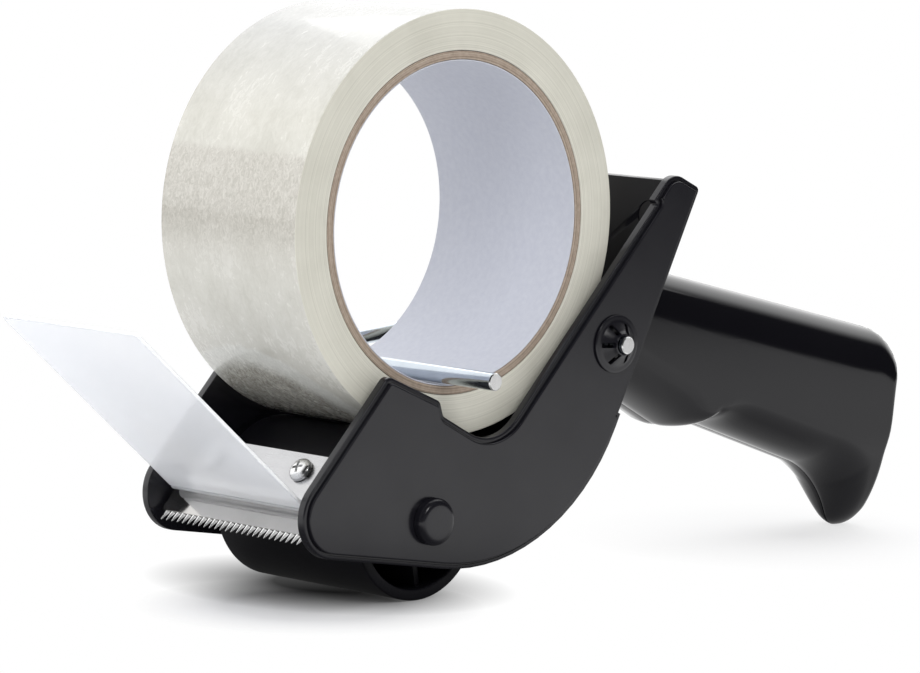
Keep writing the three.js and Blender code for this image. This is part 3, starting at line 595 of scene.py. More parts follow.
grip_crease = from_grip(31.5, 43.1)
hook_corner = from_grip(82.3, 60.9)
hook_foot = meet(hook_corner, hook_way, 0j, 1)
grip_foot = complex(grip_start.real + 97.2, 0)
grip_knee = grip_foot + 22.2j
grip_end = meet(grip_start, top_way, grip_knee, end_way)
grip_corners = [
    (grip_start - top_way * 30, 0),
    (from_grip(-45, 7.5), 0),
    (from_grip(25.8, STOP_DEEP), 9),
    (grip_crease, 1),
    (hook_corner, HOOK_R),
    (hook_foot, 4.5),
    (grip_foot, 6.5),
    (grip_knee, 13),
    (grip_end, 7),
]
grip_outline = outline(grip_corners, step=2.5)
print("grip outline:", len(grip_outline), "points")

# %% Cuts across the grip: a row and a fan
FAN_FROM, FAN_REACH = 71, 23
TOP_ROUND, TIP_ROUND = 12.4, 4.6


def clamp(value):
    return min(1.0, max(0.0, value))


def smooth_step(value, low, high):
    t = clamp((value - low) / (high - low))
    return t * t * (3 - 2 * t)


def chord(base, way):
    """Where a ray first enters the grip's outline, and where it last leaves it."""
    hits = []
    for a, b in zip(grip_outline, grip_outline[1:] + grip_outline[:1]):
        lean = cross(way, b - a)
        if lean and 0 <= cross(a - base, way) / lean <= 1:
            hits.append(cross(a - base, b - a) / lean)
    hits = [t for t in hits if t > 0]
    return base + way * min(hits), base + way * max(hits)


half_bend = math.radians((UNDER_SLOPE - HOOK_SLOPE) / 2)
fan_centre = hook_corner + HOOK_R / math.cos(half_bend) * turned((UNDER_SLOPE + HOOK_SLOPE) / 2 - 90)
row_end = fan_centre + FAN_REACH * turned(FAN_FROM)
row_start = grip_start - rear_way * (STOP_DEEP + 4)
row_long = abs(row_end - row_start)
row_way = (row_end - row_start) / row_long
crease_share = abs(meet(grip_crease, rear_way, row_start, row_way) - row_start) / row_long
hook_points = [p - fan_centre for p in grip_outline if (p - fan_centre).real > 12]
tip_angle = min(math.degrees(cmath.phase(p)) for p in hook_points)


def row_cut(along):
    way = turned(REAR_SLOPE + (FAN_FROM - REAR_SLOPE) * clamp(along))
    return row_start + (row_end - row_start) * along, way, along, TOP_ROUND


def fan_cut(along):
    end_round = TOP_ROUND + (TIP_ROUND - TOP_ROUND) * smooth_step(along, 0.2, 0.45)
    return fan_centre, turned(FAN_FROM + (tip_angle - FAN_FROM) * along), 1.0, end_round


print("row, mm:", round(row_long, 1), "crease at", round(crease_share, 3), "tip, deg:", round(tip_angle, 1))

# %% Make the two halves of the grip
GRIP_HALF, FOOT_HIGH, FOOT_POWER = 15.0, 26, 1.7
LOW_ROUND, CREASE_SHARPER, CREASE_SPREAD = 10, 5.5, 7
STOP_OUT, STOP_LEAN, STOP_SHARE = 0.6, 0.45, 0.15
FLARE_OUT, FLARE_FROM, FLARE_LONG = 2.6, 0.6, 1.8
SEAM_CHAMFER, FLARE_IN, WELL_FLOOR, SCREW_DOWN = 0.22, 2.4, 11, 18


def edge_round(distance, radius, power=2.1):
    """Quarter of a round edge: 0 at the edge itself, 1 where the flat side begins."""
    return (1 - clamp(1 - distance / radius) ** power) ** (1 / power)


def grip_half_at(share, length, along, end_round, height):
    """Half the grip's width at a share of a cut's length, which runs from its lower edge up."""
    from_crease = (along - crease_share) * row_long
    low_round = LOW_ROUND - CREASE_SHARPER * math.exp(-((from_crease / CREASE_SPREAD) ** 2))
    low = edge_round(share * length, min(low_round, length / 2))
    high = edge_round((1 - share) * length, min(end_round, length / 2))
    before_crease = smooth_step(crease_share - STOP_LEAN * share - along, 0, 0.10)
    stop = STOP_OUT * before_crease * smooth_step(STOP_SHARE - share, 0, 0.14)
    flare = FLARE_OUT * math.exp(-max(along * row_long - FLARE_FROM, 0) / FLARE_LONG)
    return (GRIP_HALF * edge_round(height, FOOT_HIGH, FOOT_POWER) + stop + flare) * low * high


def grip_ring(cut_line, way, steps=44):
    """One ring of a half grip, open towards the seam."""
    base, slope, along, end_round = cut_line
    low, high = chord(base, slope)
    length = abs(high - low)
    ring = []
    for k in range(steps + 1):
        share = (1 + math.sin(math.pi * (k / steps - 0.5))) / 2
        place = low + (high - low) * share
        half = grip_half_at(share, length, along, end_round, max(place.imag, 0))
        ring.append((place, SEAM + max(half - SEAM, 0)))
    inset = (high - low) / length * SEAM_CHAMFER
    ring[0] = (ring[0][0] + inset, SEAM)
    ring[-1] = (ring[-1][0] - inset, SEAM)
    return [spot(p, way * y) for p, y in ring]


def spaced(first, step, count):
    return [first + k * step for k in range(count)]


depth = FLARE_IN / row_long
row = [-depth, -depth / 2, 0] + spaced(0, 0.012, 8)[1:] + spaced(0.1, 0.019, 10)
row += spaced(crease_share - 0.28, 0.0085, 40) + spaced(crease_share + 0.07, 0.028, 14)
row = sorted({round(share, 4) for share in row if share < 0.985})
fan = spaced(0, 0.022, 38) + [0.84 + 0.155 * (1 - (1 - k / 16) ** 2) for k in range(17)]
grip_cuts = [row_cut(share) for share in row] + [fan_cut(share) for share in fan]
drop = math.tan(math.radians(TOP_SLOPE))
grip_screws = [from_grip(back, SCREW_DOWN - back * drop) for back in (14, 51.5, 89)]

for end, way in SIDES:
    half = skin(f"grip_{end}", [grip_ring(c, way) for c in grip_cuts])
    if way > 0:
        half = cut(half, *[bar("tool", p, WELL_R, WELL_FLOOR, 30) for p in grip_screws])
    finish_piece(dress(smooth(half, 40), gloss_black), "body", "body", f"body_{end}")

# %% [markdown]
# ## Bosses and the nose bar
# Inside the bay each moulding has a boss round the axle that spaces the roller, half of a post at the
# heel that takes a screw, and half of the bar that backs the cutter. The bar is a channel, so that
# it shrinks evenly in the mould. It's laid out in the cutter's own frame: `u` runs up along the blade
# and `n` stands out from it, both measured from the roller's axis.

# %% Make the bosses and the nose bar
STACK = turned(49.5)
TIP_U, ROOT_U, CLAMP_U, TOP_U = -25.9, -17.9, -16.0, -3.6
SCREW_U, SCREW_Y = -8.5, 15.5
BAR_TOP, BAR_DEEP, BAR_WEB, BAR_LEG, BAR_STEP = 25.55, 22.35, 2.2, 1.8, 0.8
SCREW_BOSS_R, POST_R, SPACER_R, SPACER_LONG = 3.4, 5, 5.6, 1.15


def on_stack(u, n):
    return roller_axis + complex(u, n) * STACK


bar_low, bar_high = TIP_U + 5, TOP_U + 0.6
bar_profile = [
    on_stack(bar_low, BAR_DEEP + BAR_STEP),
    on_stack(bar_low + BAR_LEG, BAR_DEEP + BAR_STEP),
    on_stack(bar_low + BAR_LEG, BAR_TOP - BAR_WEB),
    on_stack(bar_high - BAR_LEG, BAR_TOP - BAR_WEB),
    on_stack(bar_high - BAR_LEG, BAR_DEEP),
    on_stack(bar_high, BAR_DEEP),
    on_stack(bar_high, BAR_TOP),
    on_stack(bar_low, BAR_TOP),
]


def across_stack(name, loop, n0, n1):
    """A flat piece of the cutter: an outline of u and y, from one height to another."""
    return skin(name, [[spot(on_stack(p.real, n), p.imag) for p in loop] for n in (n0, n1)])


def joined(name, *parts):
    """Several closed meshes as one piece."""
    bm = bmesh.new()
    for part in parts:
        bm.from_mesh(part.data)
        bpy.data.objects.remove(part)
    return smooth(object_from(name, written(bm, name)))


for end, way in SIDES:
    edge = way * (bay_half + OVERLAP)
    nose_bar = soften(prism("nose_bar", bar_profile, way * SEAM, edge), 0.25)
    screw_place = complex(SCREW_U, way * SCREW_Y)
    boss = across_stack("boss", circle(screw_place, SCREW_BOSS_R), BAR_DEEP, BAR_TOP - 0.1)
    post = soften(bar("post", HEEL_POST, POST_R, way * SEAM, edge), 0.3)
    spacer = soften(bar("spacer", roller_axis, SPACER_R, way * (bay_half - SPACER_LONG), edge), 0.2)
    inner = joined(f"inner_bosses_{end}", nose_bar, boss, post, spacer)
    finish_piece(dress(inner, inner_black), "body", "body", f"body_{end}")

# %% [markdown]
# ## Trees for what repeats
# Three small geometry node trees do the repeating work. `row_of` sets copies of a piece along a line
# and makes the blade's teeth and the row of screws in the grip. `ring_of` sets copies round an axis
# and makes the roller's ribs and the slots of the retainer. `along_path` draws a round bar along a
# path with rounded bends and makes the wire. Each has named inputs for its sizes.

# %% Build the geometry node trees


class Tree:
    """A geometry node tree with named inputs, used as a modifier and then made real."""

    def __init__(self, name, **inputs):
        self.group = bpy.data.node_groups.new(name, "GeometryNodeTree")
        face = self.group.interface
        face.new_socket("Geometry", in_out="INPUT", socket_type="NodeSocketGeometry")
        face.new_socket("Geometry", in_out="OUTPUT", socket_type="NodeSocketGeometry")
        self.sockets = {}
        for key, kind in {**inputs, "Material": "Material"}.items():
            socket = face.new_socket(key, in_out="INPUT", socket_type="NodeSocket" + kind)
            self.sockets[key] = socket.identifier
        self.given = self.group.nodes.new("NodeGroupInput").outputs

    def add(self, kind, inputs=None, **settings):
        return add_node(self.group, kind, inputs, **settings)

    def number(self, operation, *values):
        return self.add("ShaderNodeMath", dict(enumerate(values)), operation=operation).outputs[0]

    def attribute(self, key):
        """A number that every point of the piece carries."""
        named = self.add("GeometryNodeInputNamedAttribute", {"Name": key}, data_type="FLOAT")
        return named.outputs["Attribute"]

    def copies(self, points, **inputs):
        given = {"Points": points, "Instance": self.given["Geometry"], **inputs}
        return self.add("GeometryNodeInstanceOnPoints", given).outputs[0]

    def finish(self, geometry):
        """Every tree ends with its copies made real and its material set."""
        real = self.add("GeometryNodeRealizeInstances", {"Geometry": geometry}).outputs[0]
        coat = {"Geometry": real, "Material": self.given["Material"]}
        coated = self.add("GeometryNodeSetMaterial", coat).outputs[0]
        self.add("NodeGroupOutput", {"Geometry": coated})

    def apply(self, piece, **values):
        step = piece.modifiers.new(self.group.name, "NODES")
        step.node_group = self.group
        for key, value in values.items():
            step[self.sockets[key]] = value
        return keep_modifiers(piece)


row_of = Tree("row_of", Count="Int", Start="Vector", Step="Vector")
line_inputs = {
    "Count": row_of.given["Count"],
    "Start Location": row_of.given["Start"],
    "Offset": row_of.given["Step"],
}
line = row_of.add("GeometryNodeMeshLine", line_inputs, mode="OFFSET").outputs[0]
row_of.finish(row_of.copies(line))

ring_of = Tree("ring_of", Count="Int", Centre="Vector", First="Float")
all_at_centre = {"Count": ring_of.given["Count"], "Position": ring_of.given["Centre"]}
points = ring_of.add("GeometryNodePoints", all_at_centre).outputs[0]
number = ring_of.add("GeometryNodeInputIndex").outputs[0]
share = ring_of.number("DIVIDE", number, ring_of.given["Count"])
angle = ring_of.number("MULTIPLY_ADD", share, 2 * math.pi, ring_of.given["First"])
spin = ring_of.add("ShaderNodeCombineXYZ", {"Y": angle}).outputs[0]
ring_of.finish(ring_of.copies(points, Rotation=spin))

FILLET_POINTS, BAR_SIDES = 12, 40
along_path = Tree("along_path", Radius="Float", Bend="Float")
curve = along_path.add("GeometryNodeMeshToCurve", {"Mesh": along_path.given["Geometry"]}).outputs[0]
bend_here = along_path.number("MULTIPLY", along_path.attribute("corner"), along_path.given["Bend"])
bends = {"Curve": curve, "Radius": bend_here, "Count": FILLET_POINTS}
fillet = along_path.add("GeometryNodeFilletCurve", bends, mode="POLY").outputs[0]
section = {"Resolution": BAR_SIDES, "Radius": along_path.given["Radius"]}
round_bar = along_path.add("GeometryNodeCurvePrimitiveCircle", section, mode="RADIUS").outputs[0]
thickness = along_path.attribute("thickness")
sweep = {"Curve": fillet, "Profile Curve": round_bar, "Scale": thickness, "Fill Caps": True}
along_path.finish(along_path.add("GeometryNodeCurveToMesh", sweep).outputs[0])
print("trees:", [g.name for g in bpy.data.node_groups])

# %% [markdown]
# ## Metals
# The blade and its clamp are rolled steel with a fine brushed grain across the blade. The wire and
# the screws are zinc plated, which is a little bluish and slightly cloudy where the bath left more.

# %% The metals


def metal(name, colour, low, high, stretch, grain):
    mix = Finish(name, Metallic=1.0)
    fine = mix.noise(mix.where(stretch), 900, 3)
    cloud = mix.noise(mix.where(), 90, 3)
    mix.set("Roughness", mix.between(mix.sum_of(mix.times(fine, 0.6), mix.times(cloud, 0.4)), low, high))
    dark = tuple(c * 0.9 for c in colour)
    mix.set("Base Color", mix.colours(cloud, [(0.35, dark), (0.65, colour)]))
    mix.bump(fine, grain)
    return mix.material


steel = metal("rolled_steel", (0.58, 0.58, 0.59), 0.20, 0.32, (1, 0.06, 1), 0.004)
mirror_steel = metal("polished_steel", (0.55, 0.54, 0.525), 0.05, 0.11, (1, 0.06, 1), 0.0015)
edge_steel = metal("ground_steel", (0.88, 0.88, 0.88), 0.22, 0.30, (1, 1, 0.1), 0.003)
zinc = metal("zinc_plating", (0.62, 0.68, 0.74), 0.10, 0.24, (1, 1, 1), 0.002)
print("metals ready")

# %% [markdown]
# ## Screws
# All screws are the same cross-recessed pan head. One is turned about its own axis, the cross is cut
# out of it, and it's then set in place. The three in the grip stand in one line, evenly spaced, so a
# single screw goes through `row_of`. Their heads sit at the bottom of wells on the far side.

# %% Make the screws


def turn(name, profile, segments=48):
    """A turned piece about Z at the origin, from (radius, height) pairs in millimetres."""
    return skin(name, [[Vector((p.real, p.imag, z * MM)) for p in circle(0j, r * MM, segments)]
                       for r, z in profile])


def box_about(name, size, place):
    """A plain box: its size and its middle, in millimetres."""
    bm = bmesh.new()
    bmesh.ops.create_cube(bm, size=1)
    bmesh.ops.scale(bm, vec=Vector(size) * MM, verts=bm.verts)
    bmesh.ops.translate(bm, vec=Vector(place) * MM, verts=bm.verts)
    return object_from(name, written(bm, name))


def set_in_place(piece, place, along):
    """Stands a piece that was made about Z on a place, with its Z axis along a direction."""
    turn_to = Vector(along).to_track_quat("Z", "Y").to_matrix().to_4x4()
    piece.data.transform(Matrix.Translation(place) @ turn_to)
    return piece


HEAD_R, HEAD_HIGH, HEAD_RIM, SHANK_R, TIP_R, TIP_LONG = 3.0, 1.9, 0.5, 1.4, 0.7, 1.2
ARM_WIDE, ARM_LONG, ARM_DEEP = 0.66, 3.1, 1.7


def screw(name, shank, twist):
    """A screw along Z with its seat at zero; the cross in its head is turned by the twist."""
    profile = [(0.02, -shank), (TIP_R, -shank), (SHANK_R, TIP_LONG - shank), (SHANK_R, 0), (HEAD_R, 0)]
    profile.append((HEAD_R, HEAD_RIM))
    for t in quarter_turn(10)[1:]:
        t = t * 0.985
        profile.append((HEAD_R * math.cos(t) ** 0.75, HEAD_RIM + (HEAD_HIGH - HEAD_RIM) * math.sin(t)))
    piece = turn(name, profile + [(0.02, HEAD_HIGH)])
    sizes = ((ARM_WIDE, ARM_LONG, ARM_DEEP), (ARM_LONG, ARM_WIDE, ARM_DEEP))
    arms = [box_about("arm", size, (0, 0, HEAD_HIGH)) for size in sizes]
    for arm in arms:
        arm.data.transform(Matrix.Rotation(math.radians(twist), 4, "Z"))
    return soften(cut(piece, *arms), 0.05, 2)


STACK_SEAT, HEAD_GAP, ACROSS = 29.15, 0.2, (0, 1, 0)
CUTTER_SHANK, GRIP_SHANK, HEEL_SHANK = STACK_SEAT - BAR_DEEP - 0.6, 20, 36.8
outward = Vector(((1j * STACK).real, 0, (1j * STACK).imag))
for end, way, twist in (("near", -1, 18), ("far", 1, 63)):
    piece = screw(f"cutter_screw_{end}", CUTTER_SHANK, twist)
    set_in_place(piece, spot(on_stack(SCREW_U, STACK_SEAT), way * SCREW_Y), outward)
    finish_piece(dress(piece, edge_steel), "body", "steel", f"blade_screw_{end}")

row_piece = set_in_place(screw("grip_screws", GRIP_SHANK, 30), Vector(), ACROSS)
starts = [spot(p, WELL_FLOOR + HEAD_GAP) for p in grip_screws]
row_of.apply(row_piece, Count=len(starts), Start=starts[0], Step=starts[1] - starts[0], Material=zinc)
finish_piece(smooth(row_piece), "body", "zinc", "grip_screw_1", "grip_screw_2", "grip_screw_3")

heel_place = spot(HEEL_POST, HEEL_WELL + HEAD_GAP)
heel_piece = set_in_place(screw("heel_post_screw", HEEL_SHANK, 12), heel_place, ACROSS)
finish_piece(dress(heel_piece, zinc), "body", "zinc", "heel_screw")

# %% [markdown]
# ## Cutter
# The blade is a thin strip with pointed teeth along its lower edge. The strip is one flat piece, and
# the teeth are a row of ground points that grow out of it: each is a small ridge that narrows and
# drops towards its tip, so it catches the light along its length. Over the blade lie the flange
# of the clear flap and the clamp plate, both held by the two screws.

# %% Make the blade and the clamp plate
PITCH, TOOTH, TEETH, FIRST_TOOTH = 1.96, 2.3, 26, -12.8
TOOTH_LONG, TOOTH_LEAN, ROOT_HALF, TIP_HALF = TOOTH + 0.3, 0.45, 0.58, 0.07
FOOT_N, CREST_N, CREST_FALL = 25.78, 26.5, 0.55
BLADE_HALF, BLADE_N, BLADE_THICK = 25.8, 25.75, 0.8
CLAMP_N, CLAMP_THICK = 27.95, 1.0
SCREW_HOLE_R = 1.7


def sheet_of_stack(name, u0, u1, half, n0, thick, corner):
    """A sheet with rounded corners and a hole for each of the two screws."""
    corners = [(point, corner) for point in rectangle(u0, -half, u1, half)]
    sheet = across_stack(name, outline(corners, step=8), n0, n0 + thick)
    holes = [circle(complex(SCREW_U, way * SCREW_Y), SCREW_HOLE_R) for _, way in SIDES]
    return cut(sheet, *[across_stack("tool", hole, n0 - 1, n0 + thick + 1) for hole in holes])


def tooth(steps=8):
    """One tooth about y = 0: rings across it from the root to the tip."""
    rings = []
    for k in range(steps + 1):
        t = k / steps
        wide = TIP_HALF + ROOT_HALF * (1 - t) ** 0.7
        crest = CREST_N - CREST_FALL * t**1.3
        right = [(wide, FOOT_N), (0.42 * wide, crest - 0.04), (0.2 * wide, crest)]
        ring = [(-wide, FOOT_N)] + right + [(-y, n) for y, n in right[:0:-1]]
        u, lean = TIP_U + TOOTH_LONG - TOOTH_LONG * t, TOOTH_LEAN * PITCH * t
        rings.append([spot(on_stack(u, n), lean + y) for y, n in ring])
    return skin("blade_teeth", rings)


strip = sheet_of_stack("blade_strip", TIP_U + TOOTH, TOP_U, BLADE_HALF, BLADE_N, BLADE_THICK, 0.2)
finish_piece(dress(soften(strip, 0.06, 2), mirror_steel), "body", "steel", "blade")
teeth = tooth()
start, step = Vector((0, FIRST_TOOTH * PITCH * MM, 0)), Vector((0, PITCH * MM, 0))
row_of.apply(teeth, Count=TEETH, Start=start, Step=step, Material=edge_steel)
finish_piece(smooth(teeth, 20), "body", "steel", "blade")

clamp_piece = sheet_of_stack("clamp", CLAMP_U, TOP_U, BLADE_HALF, CLAMP_N, CLAMP_THICK, 0.8)
clamp_piece = soften(clamp_piece, 0.15, 3)
finish_piece(dress(clamp_piece, steel), "body", "steel", "clamp_plate")

# %% [markdown]
# ## Clear flap
# A clear sheet, bent at the lower end of its flange, stands up in front of the blade and keeps the
# tape from falling back. The plastic is a little milky and very glossy. The free part turns about its
# lower edge, so it's a piece of its own; a thin rounding on its edges gives them their bright line.
# The finish is transmission over a bluish base, with weak haze, and a few fine rubbed streaks.

# %% Make the clear flap
MILKY, SHEET_IOR = 0.33, 1.47


def clear_plastic():
    mix = Finish("clear_sheet", IOR=SHEET_IOR, Transmission_Weight=0.66)
    rubbed = mix.noise(mix.where((1, 0.5, 1)), 24, 4)
    mix.set("Roughness", mix.between(rubbed, 0.03, 0.12))
    tint = [(0.3, (0.86, 0.88, 0.93)), (0.7, (0.93, 0.94, 0.97))]
    mix.set("Base Color", mix.colours(mix.noise(mix.where(), 30, 3), tint))
    mix.bump(mix.noise(mix.where((1, 3, 1)), 120, 2), 0.012)
    through = mix.add("ShaderNodeBsdfTranslucent", {"Color": (0.93, 0.94, 0.96, 1)})
    haze = mix.add("ShaderNodeMixShader", {"Fac": MILKY, 1: mix.shader.outputs[0], 2: through.outputs[0]})
    mix.tree.links.new(haze.outputs[0], mix.output.inputs["Surface"])
    return mix.material


def cut_edge():
    """The sheet's edge scatters the light that runs inside it."""
    mix = Finish("clear_sheet_edge", Roughness=0.25, Transmission_Weight=0.25, IOR=SHEET_IOR)
    tint = [(0.3, (0.86, 0.88, 0.90)), (0.7, (0.95, 0.95, 0.95))]
    mix.set("Base Color", mix.colours(mix.noise(mix.where(), 300, 3), tint))
    return mix.material


clear_sheet = clear_plastic()
clear_edge = cut_edge()
FLAP_HALF, FLAP_LOW, FLAP_THICK, FLAP_LONG = 24.5, 26.75, 1.0, 66.2
half_thick, bend_top = FLAP_THICK / 2, FLAP_LOW + 2.1
hinge_n = ((crease - roller_axis) / STACK).imag

flange = sheet_of_stack("clear_flange", CLAMP_U - half_thick, TOP_U, FLAP_HALF, FLAP_LOW, FLAP_THICK, 0)
bend_corners = [
    (on_stack(ROOT_U - half_thick, FLAP_LOW), 1.6),
    (on_stack(CLAMP_U, FLAP_LOW), 0),
    (on_stack(CLAMP_U, FLAP_LOW + FLAP_THICK), 0),
    (on_stack(ROOT_U + half_thick, FLAP_LOW + FLAP_THICK), 0.6),
    (on_stack(ROOT_U + half_thick, bend_top), 0),
    (on_stack(ROOT_U - half_thick, bend_top), 0),
]
bend_piece = prism("bend", outline(bend_corners, step=9), -FLAP_HALF, FLAP_HALF)
flange = soften(cut(flange, bend_piece, operation="UNION"), 0.08, 2)
finish_piece(dress(flange, clear_sheet), "body", "clear_sheet", "flap_flange")


def flap_sheet():
    """The free part: its face is an outline of n and y, with a rounding all round its edges."""
    face = rectangle(hinge_n - half_thick, -FLAP_HALF, hinge_n + FLAP_LONG, FLAP_HALF)
    corners = list(zip(face, (0.4, 1.5, 1.5, 0.4)))
    turns = [2 * t for t in quarter_turn(4)]
    section = [(half_thick / 2 * (1 - math.sin(t)), ROOT_U - half_thick * math.cos(t)) for t in turns]
    section = [(0.45, ROOT_U - half_thick)] + section + [(0.45, ROOT_U + half_thick)]
    rings = []
    for inset, u in section:
        loop = outline(corners, inset, step=10)
        rings.append([spot(on_stack(u, p.real), p.imag) for p in loop])
    return skin("clear_flap", rings)


flap = dress(smooth(flap_sheet(), 50), clear_sheet, clear_edge)
blade_way = Vector((STACK.real, 0, STACK.imag))
for polygon in flap.data.polygons:
    polygon.material_index = 1 if abs(polygon.normal.dot(blade_way)) < 0.6 else 0
finish_piece(flap, "flap", "clear_sheet", "tape_flap")

# %% [markdown]
# ## Roller and axle
# The roller is an open drum with a hub, a thin disc half way and six ribs. Its profile is turned in
# one go with small roundings on the lips, and `ring_of` sets the ribs. The axle pin has a round head
# on the near side and a pressed cap on the far side.

# %% Make the roller and the axle
HUB_IN, HUB_OUT, DISC_HALF = 4.3, 6.5, 1
RIBS, RIB_THICK, FIRST_RIB = 6, 1.6, 0.35
roller_half, drum_in = size_mm("roller_drum").y / 2, roller_r - 2.65
hub_y = roller_half - 0.5
drum_profile = rounded_profile([
    (roller_r, 0),
    (roller_r, roller_half),
    (drum_in, roller_half),
    (drum_in, DISC_HALF),
    (HUB_OUT, DISC_HALF),
    (HUB_OUT, hub_y),
    (HUB_IN, hub_y),
    (HUB_IN, -hub_y),
    (HUB_OUT, -hub_y),
    (HUB_OUT, -DISC_HALF),
    (drum_in, -DISC_HALF),
    (drum_in, -roller_half),
    (roller_r, -roller_half),
    (roller_r, 0),
], 0.5)[:-1]
drum = lathe("roller", drum_profile, roller_axis, 128, closed=True)
finish_piece(dress(drum, dull_black), "roller", "roller", "roller_drum")

rib_size = (drum_in - HUB_OUT + 1, 2 * (roller_half - 3), RIB_THICK)
rib = soften(box_about("roller_ribs", rib_size, ((drum_in + HUB_OUT) / 2, 0, 0)), 0.25)
ring_of.apply(rib, Count=RIBS, Centre=spot(roller_axis, 0), First=FIRST_RIB, Material=dull_black)
finish_piece(smooth(rib), "roller", "roller", "roller_drum")

SEAT_GAP, BUTTON_R, BUTTON_HIGH = 0.2, 5.6, 2.6
AXLE_R, AXLE_END, CAP_BORE = 4, 31.2, 4.15
head_seat = body_half + SEAT_GAP
head_top = head_seat + BUTTON_HIGH
button = [(BUTTON_R - 1.7 * (1 - math.cos(t)), head_top - 1.5 * (1 - math.sin(t))) for t in quarter_turn(8)]
axle_profile = [(0, -head_top), (2.6, -head_top)] + [(r, -y) for r, y in reversed(button)]
axle_profile += [(BUTTON_R, -head_seat), (AXLE_R, -head_seat)]
axle_profile += [(AXLE_R, AXLE_END - 0.5), (AXLE_R - 0.5, AXLE_END), (0, AXLE_END)]
axle = lathe("axle", axle_profile, roller_axis, 64)
finish_piece(dress(axle, satin_black), "body", "roller", "roller_axle")

cap_profile = [(0, 31.5), (CAP_BORE, 31.5), (CAP_BORE, head_seat), (BUTTON_R, head_seat)]
cap = lathe("cap", cap_profile + button + [(0, head_top)], roller_axis, 64)
finish_piece(dress(cap, satin_black), "body", "roller", "axle_cap")

# %% [markdown]
# ## Wire arm and its retainer
# One bent wire pivots in both plates, turns outside the far one and comes back through the roll's
# core. It's a path of a few points: the corners are marked for rounding, and the ends are marked thin
# for their chamfer. A cut end is bare metal, so it's brighter than the plating. The retainer is a
# thin black disc that rises as a low cone to a collar round the wire. Its slots are a ring of small
# bars that are cut out of it, so that tongues are left between them.

# %% Make the wire arm and the retainer
WIRE, BEND, CHAMFER, TIP_SHARE = 2.1, 2.9, 0.25, 0.88
PIVOT_END, LEG_END, LINK_Y = -34.6, -41.99, 32.4
leg_axis = roll_axis + 35.7 * turned(-95.6)
path = [
    (pivot_axis, PIVOT_END, 0, TIP_SHARE),
    (pivot_axis, PIVOT_END + CHAMFER, 0, 1),
    (pivot_axis, LINK_Y, 1, 1),
    (leg_axis, LINK_Y, 1, 1),
    (leg_axis, LEG_END + CHAMFER, 0, 1),
    (leg_axis, LEG_END, 0, TIP_SHARE),
]
path_mesh = bpy.data.meshes.new("bent_wire")
path_mesh.from_pydata([spot(p, y) for p, y, _, _ in path], [(k, k + 1) for k in range(len(path) - 1)], [])
for key, column in (("corner", 2), ("thickness", 3)):
    values = path_mesh.attributes.new(key, "FLOAT", "POINT")
    values.data.foreach_set("value", [float(point[column]) for point in path])
wire = object_from("bent_wire", path_mesh)
along_path.apply(wire, Radius=WIRE * MM, Bend=BEND * MM, Material=zinc)
bm = bmesh.new()
bm.from_mesh(wire.data)
wire.data = written(merged(bm), "bent_wire")
dress(wire, zinc, edge_steel)
near_tips = spot(pivot_axis, PIVOT_END + CHAMFER).y
for face in wire.data.polygons:
    if face.normal.y < -0.5 and face.center.y < near_tips:
        face.material_index = 1
finish_piece(smooth(wire, 30), "arm", "zinc", "wire_arm")

DISC_R, CONE_HIGH, COLLAR_HIGH, COLLAR_THICK = 7.0, 2.4, 0.7, 0.4
SLOTS, SLOT_WIDE, SLOT_DEEP = 6, 1.25, 9
seat, bore = -body_half - SEAT_GAP, WIRE + 0.15
cone = seat - CONE_HIGH
disc_profile = rounded_profile([
    (bore + 0.5, cone + 0.55),
    (bore, cone + 0.25),
    (bore, cone - COLLAR_HIGH),
    (bore + COLLAR_THICK, cone - COLLAR_HIGH),
    (bore + 0.9, cone),
    (DISC_R * 0.78, seat - 0.5),
    (DISC_R * 0.96, seat - 0.48),
    (DISC_R, seat - 0.3),
    (DISC_R, seat),
    (DISC_R * 0.75, seat),
    (bore + 0.5, cone + 0.55),
], 0.45)[:-1]
disc = lathe("retainer", disc_profile, pivot_axis, 96, closed=True, degrees=40)
slot_from, slot_to = bore + COLLAR_THICK, DISC_R * 0.76
slot_size = (slot_to - slot_from, SLOT_DEEP, SLOT_WIDE)
slot_tool = soften(box_about("tool", slot_size, ((slot_from + slot_to) / 2, 0, 0)), 0.2)
ring_of.apply(slot_tool, Count=SLOTS, Centre=spot(pivot_axis, seat), First=0.0, Material=gloss_black)
disc = cut(disc, slot_tool)
finish_piece(dress(smooth(disc, 40), satin_black), "arm", "roller", "star_retainer")

# %% [markdown]
# ## Tape roll
# The wound tape, the card core and the white paper that lines it are three rings. All are turned with
# small roundings, so their UV map runs round the roll and along the profile. The outside of the tape
# is glossy and milky with streaks along the winding, and its sides are rougher and show the edges of
# the layers. Low on the front the layers lie so close that the dark bay shows through in a mottled
# patch. The card is layered brown paper, and the lining has one butt joint.

# %% Finishes of the roll


def winding(degrees):
    """Distance round the roll in metres, as the UV map counts it."""
    return math.radians(degrees) * roll_r * MM


# The crown, from 40 to 150 degrees round the roll, is painted darker: painted shade on the top of the roll.
PAINTED_CROWN_FROM, PAINTED_CROWN_TO = (winding(40), winding(80)), (winding(115), winding(150))
BAND_TOP, BAND_FOOT = (winding(161), winding(163)), (winding(180), winding(196))
PATCH_AT, PATCH_LONG, PATCH_Y, PATCH_WIDE = winding(245), 26 * MM, mid.y + 7 * MM, 28 * MM
JOINT_AT, JOINT_HALF = winding(118), 0.0001


def turning_uv(mix):
    return mix.add("ShaderNodeUVMap", uv_map="turning").outputs[0]


def along_of(mix, vector, axis):
    return mix.add("ShaderNodeSeparateXYZ", {"Vector": vector}).outputs[axis]


def mixed_colour(mix, share, a, b):
    node = mix.add("ShaderNodeMix", data_type="RGBA")
    for index, value in ((0, share), (6, a), (7, b)):
        mix.tree.links.new(value, node.inputs[index])
    return node.outputs[2]


def length_of(mix, vector):
    return mix.add("ShaderNodeVectorMath", {0: vector}, operation="LENGTH").outputs["Value"]


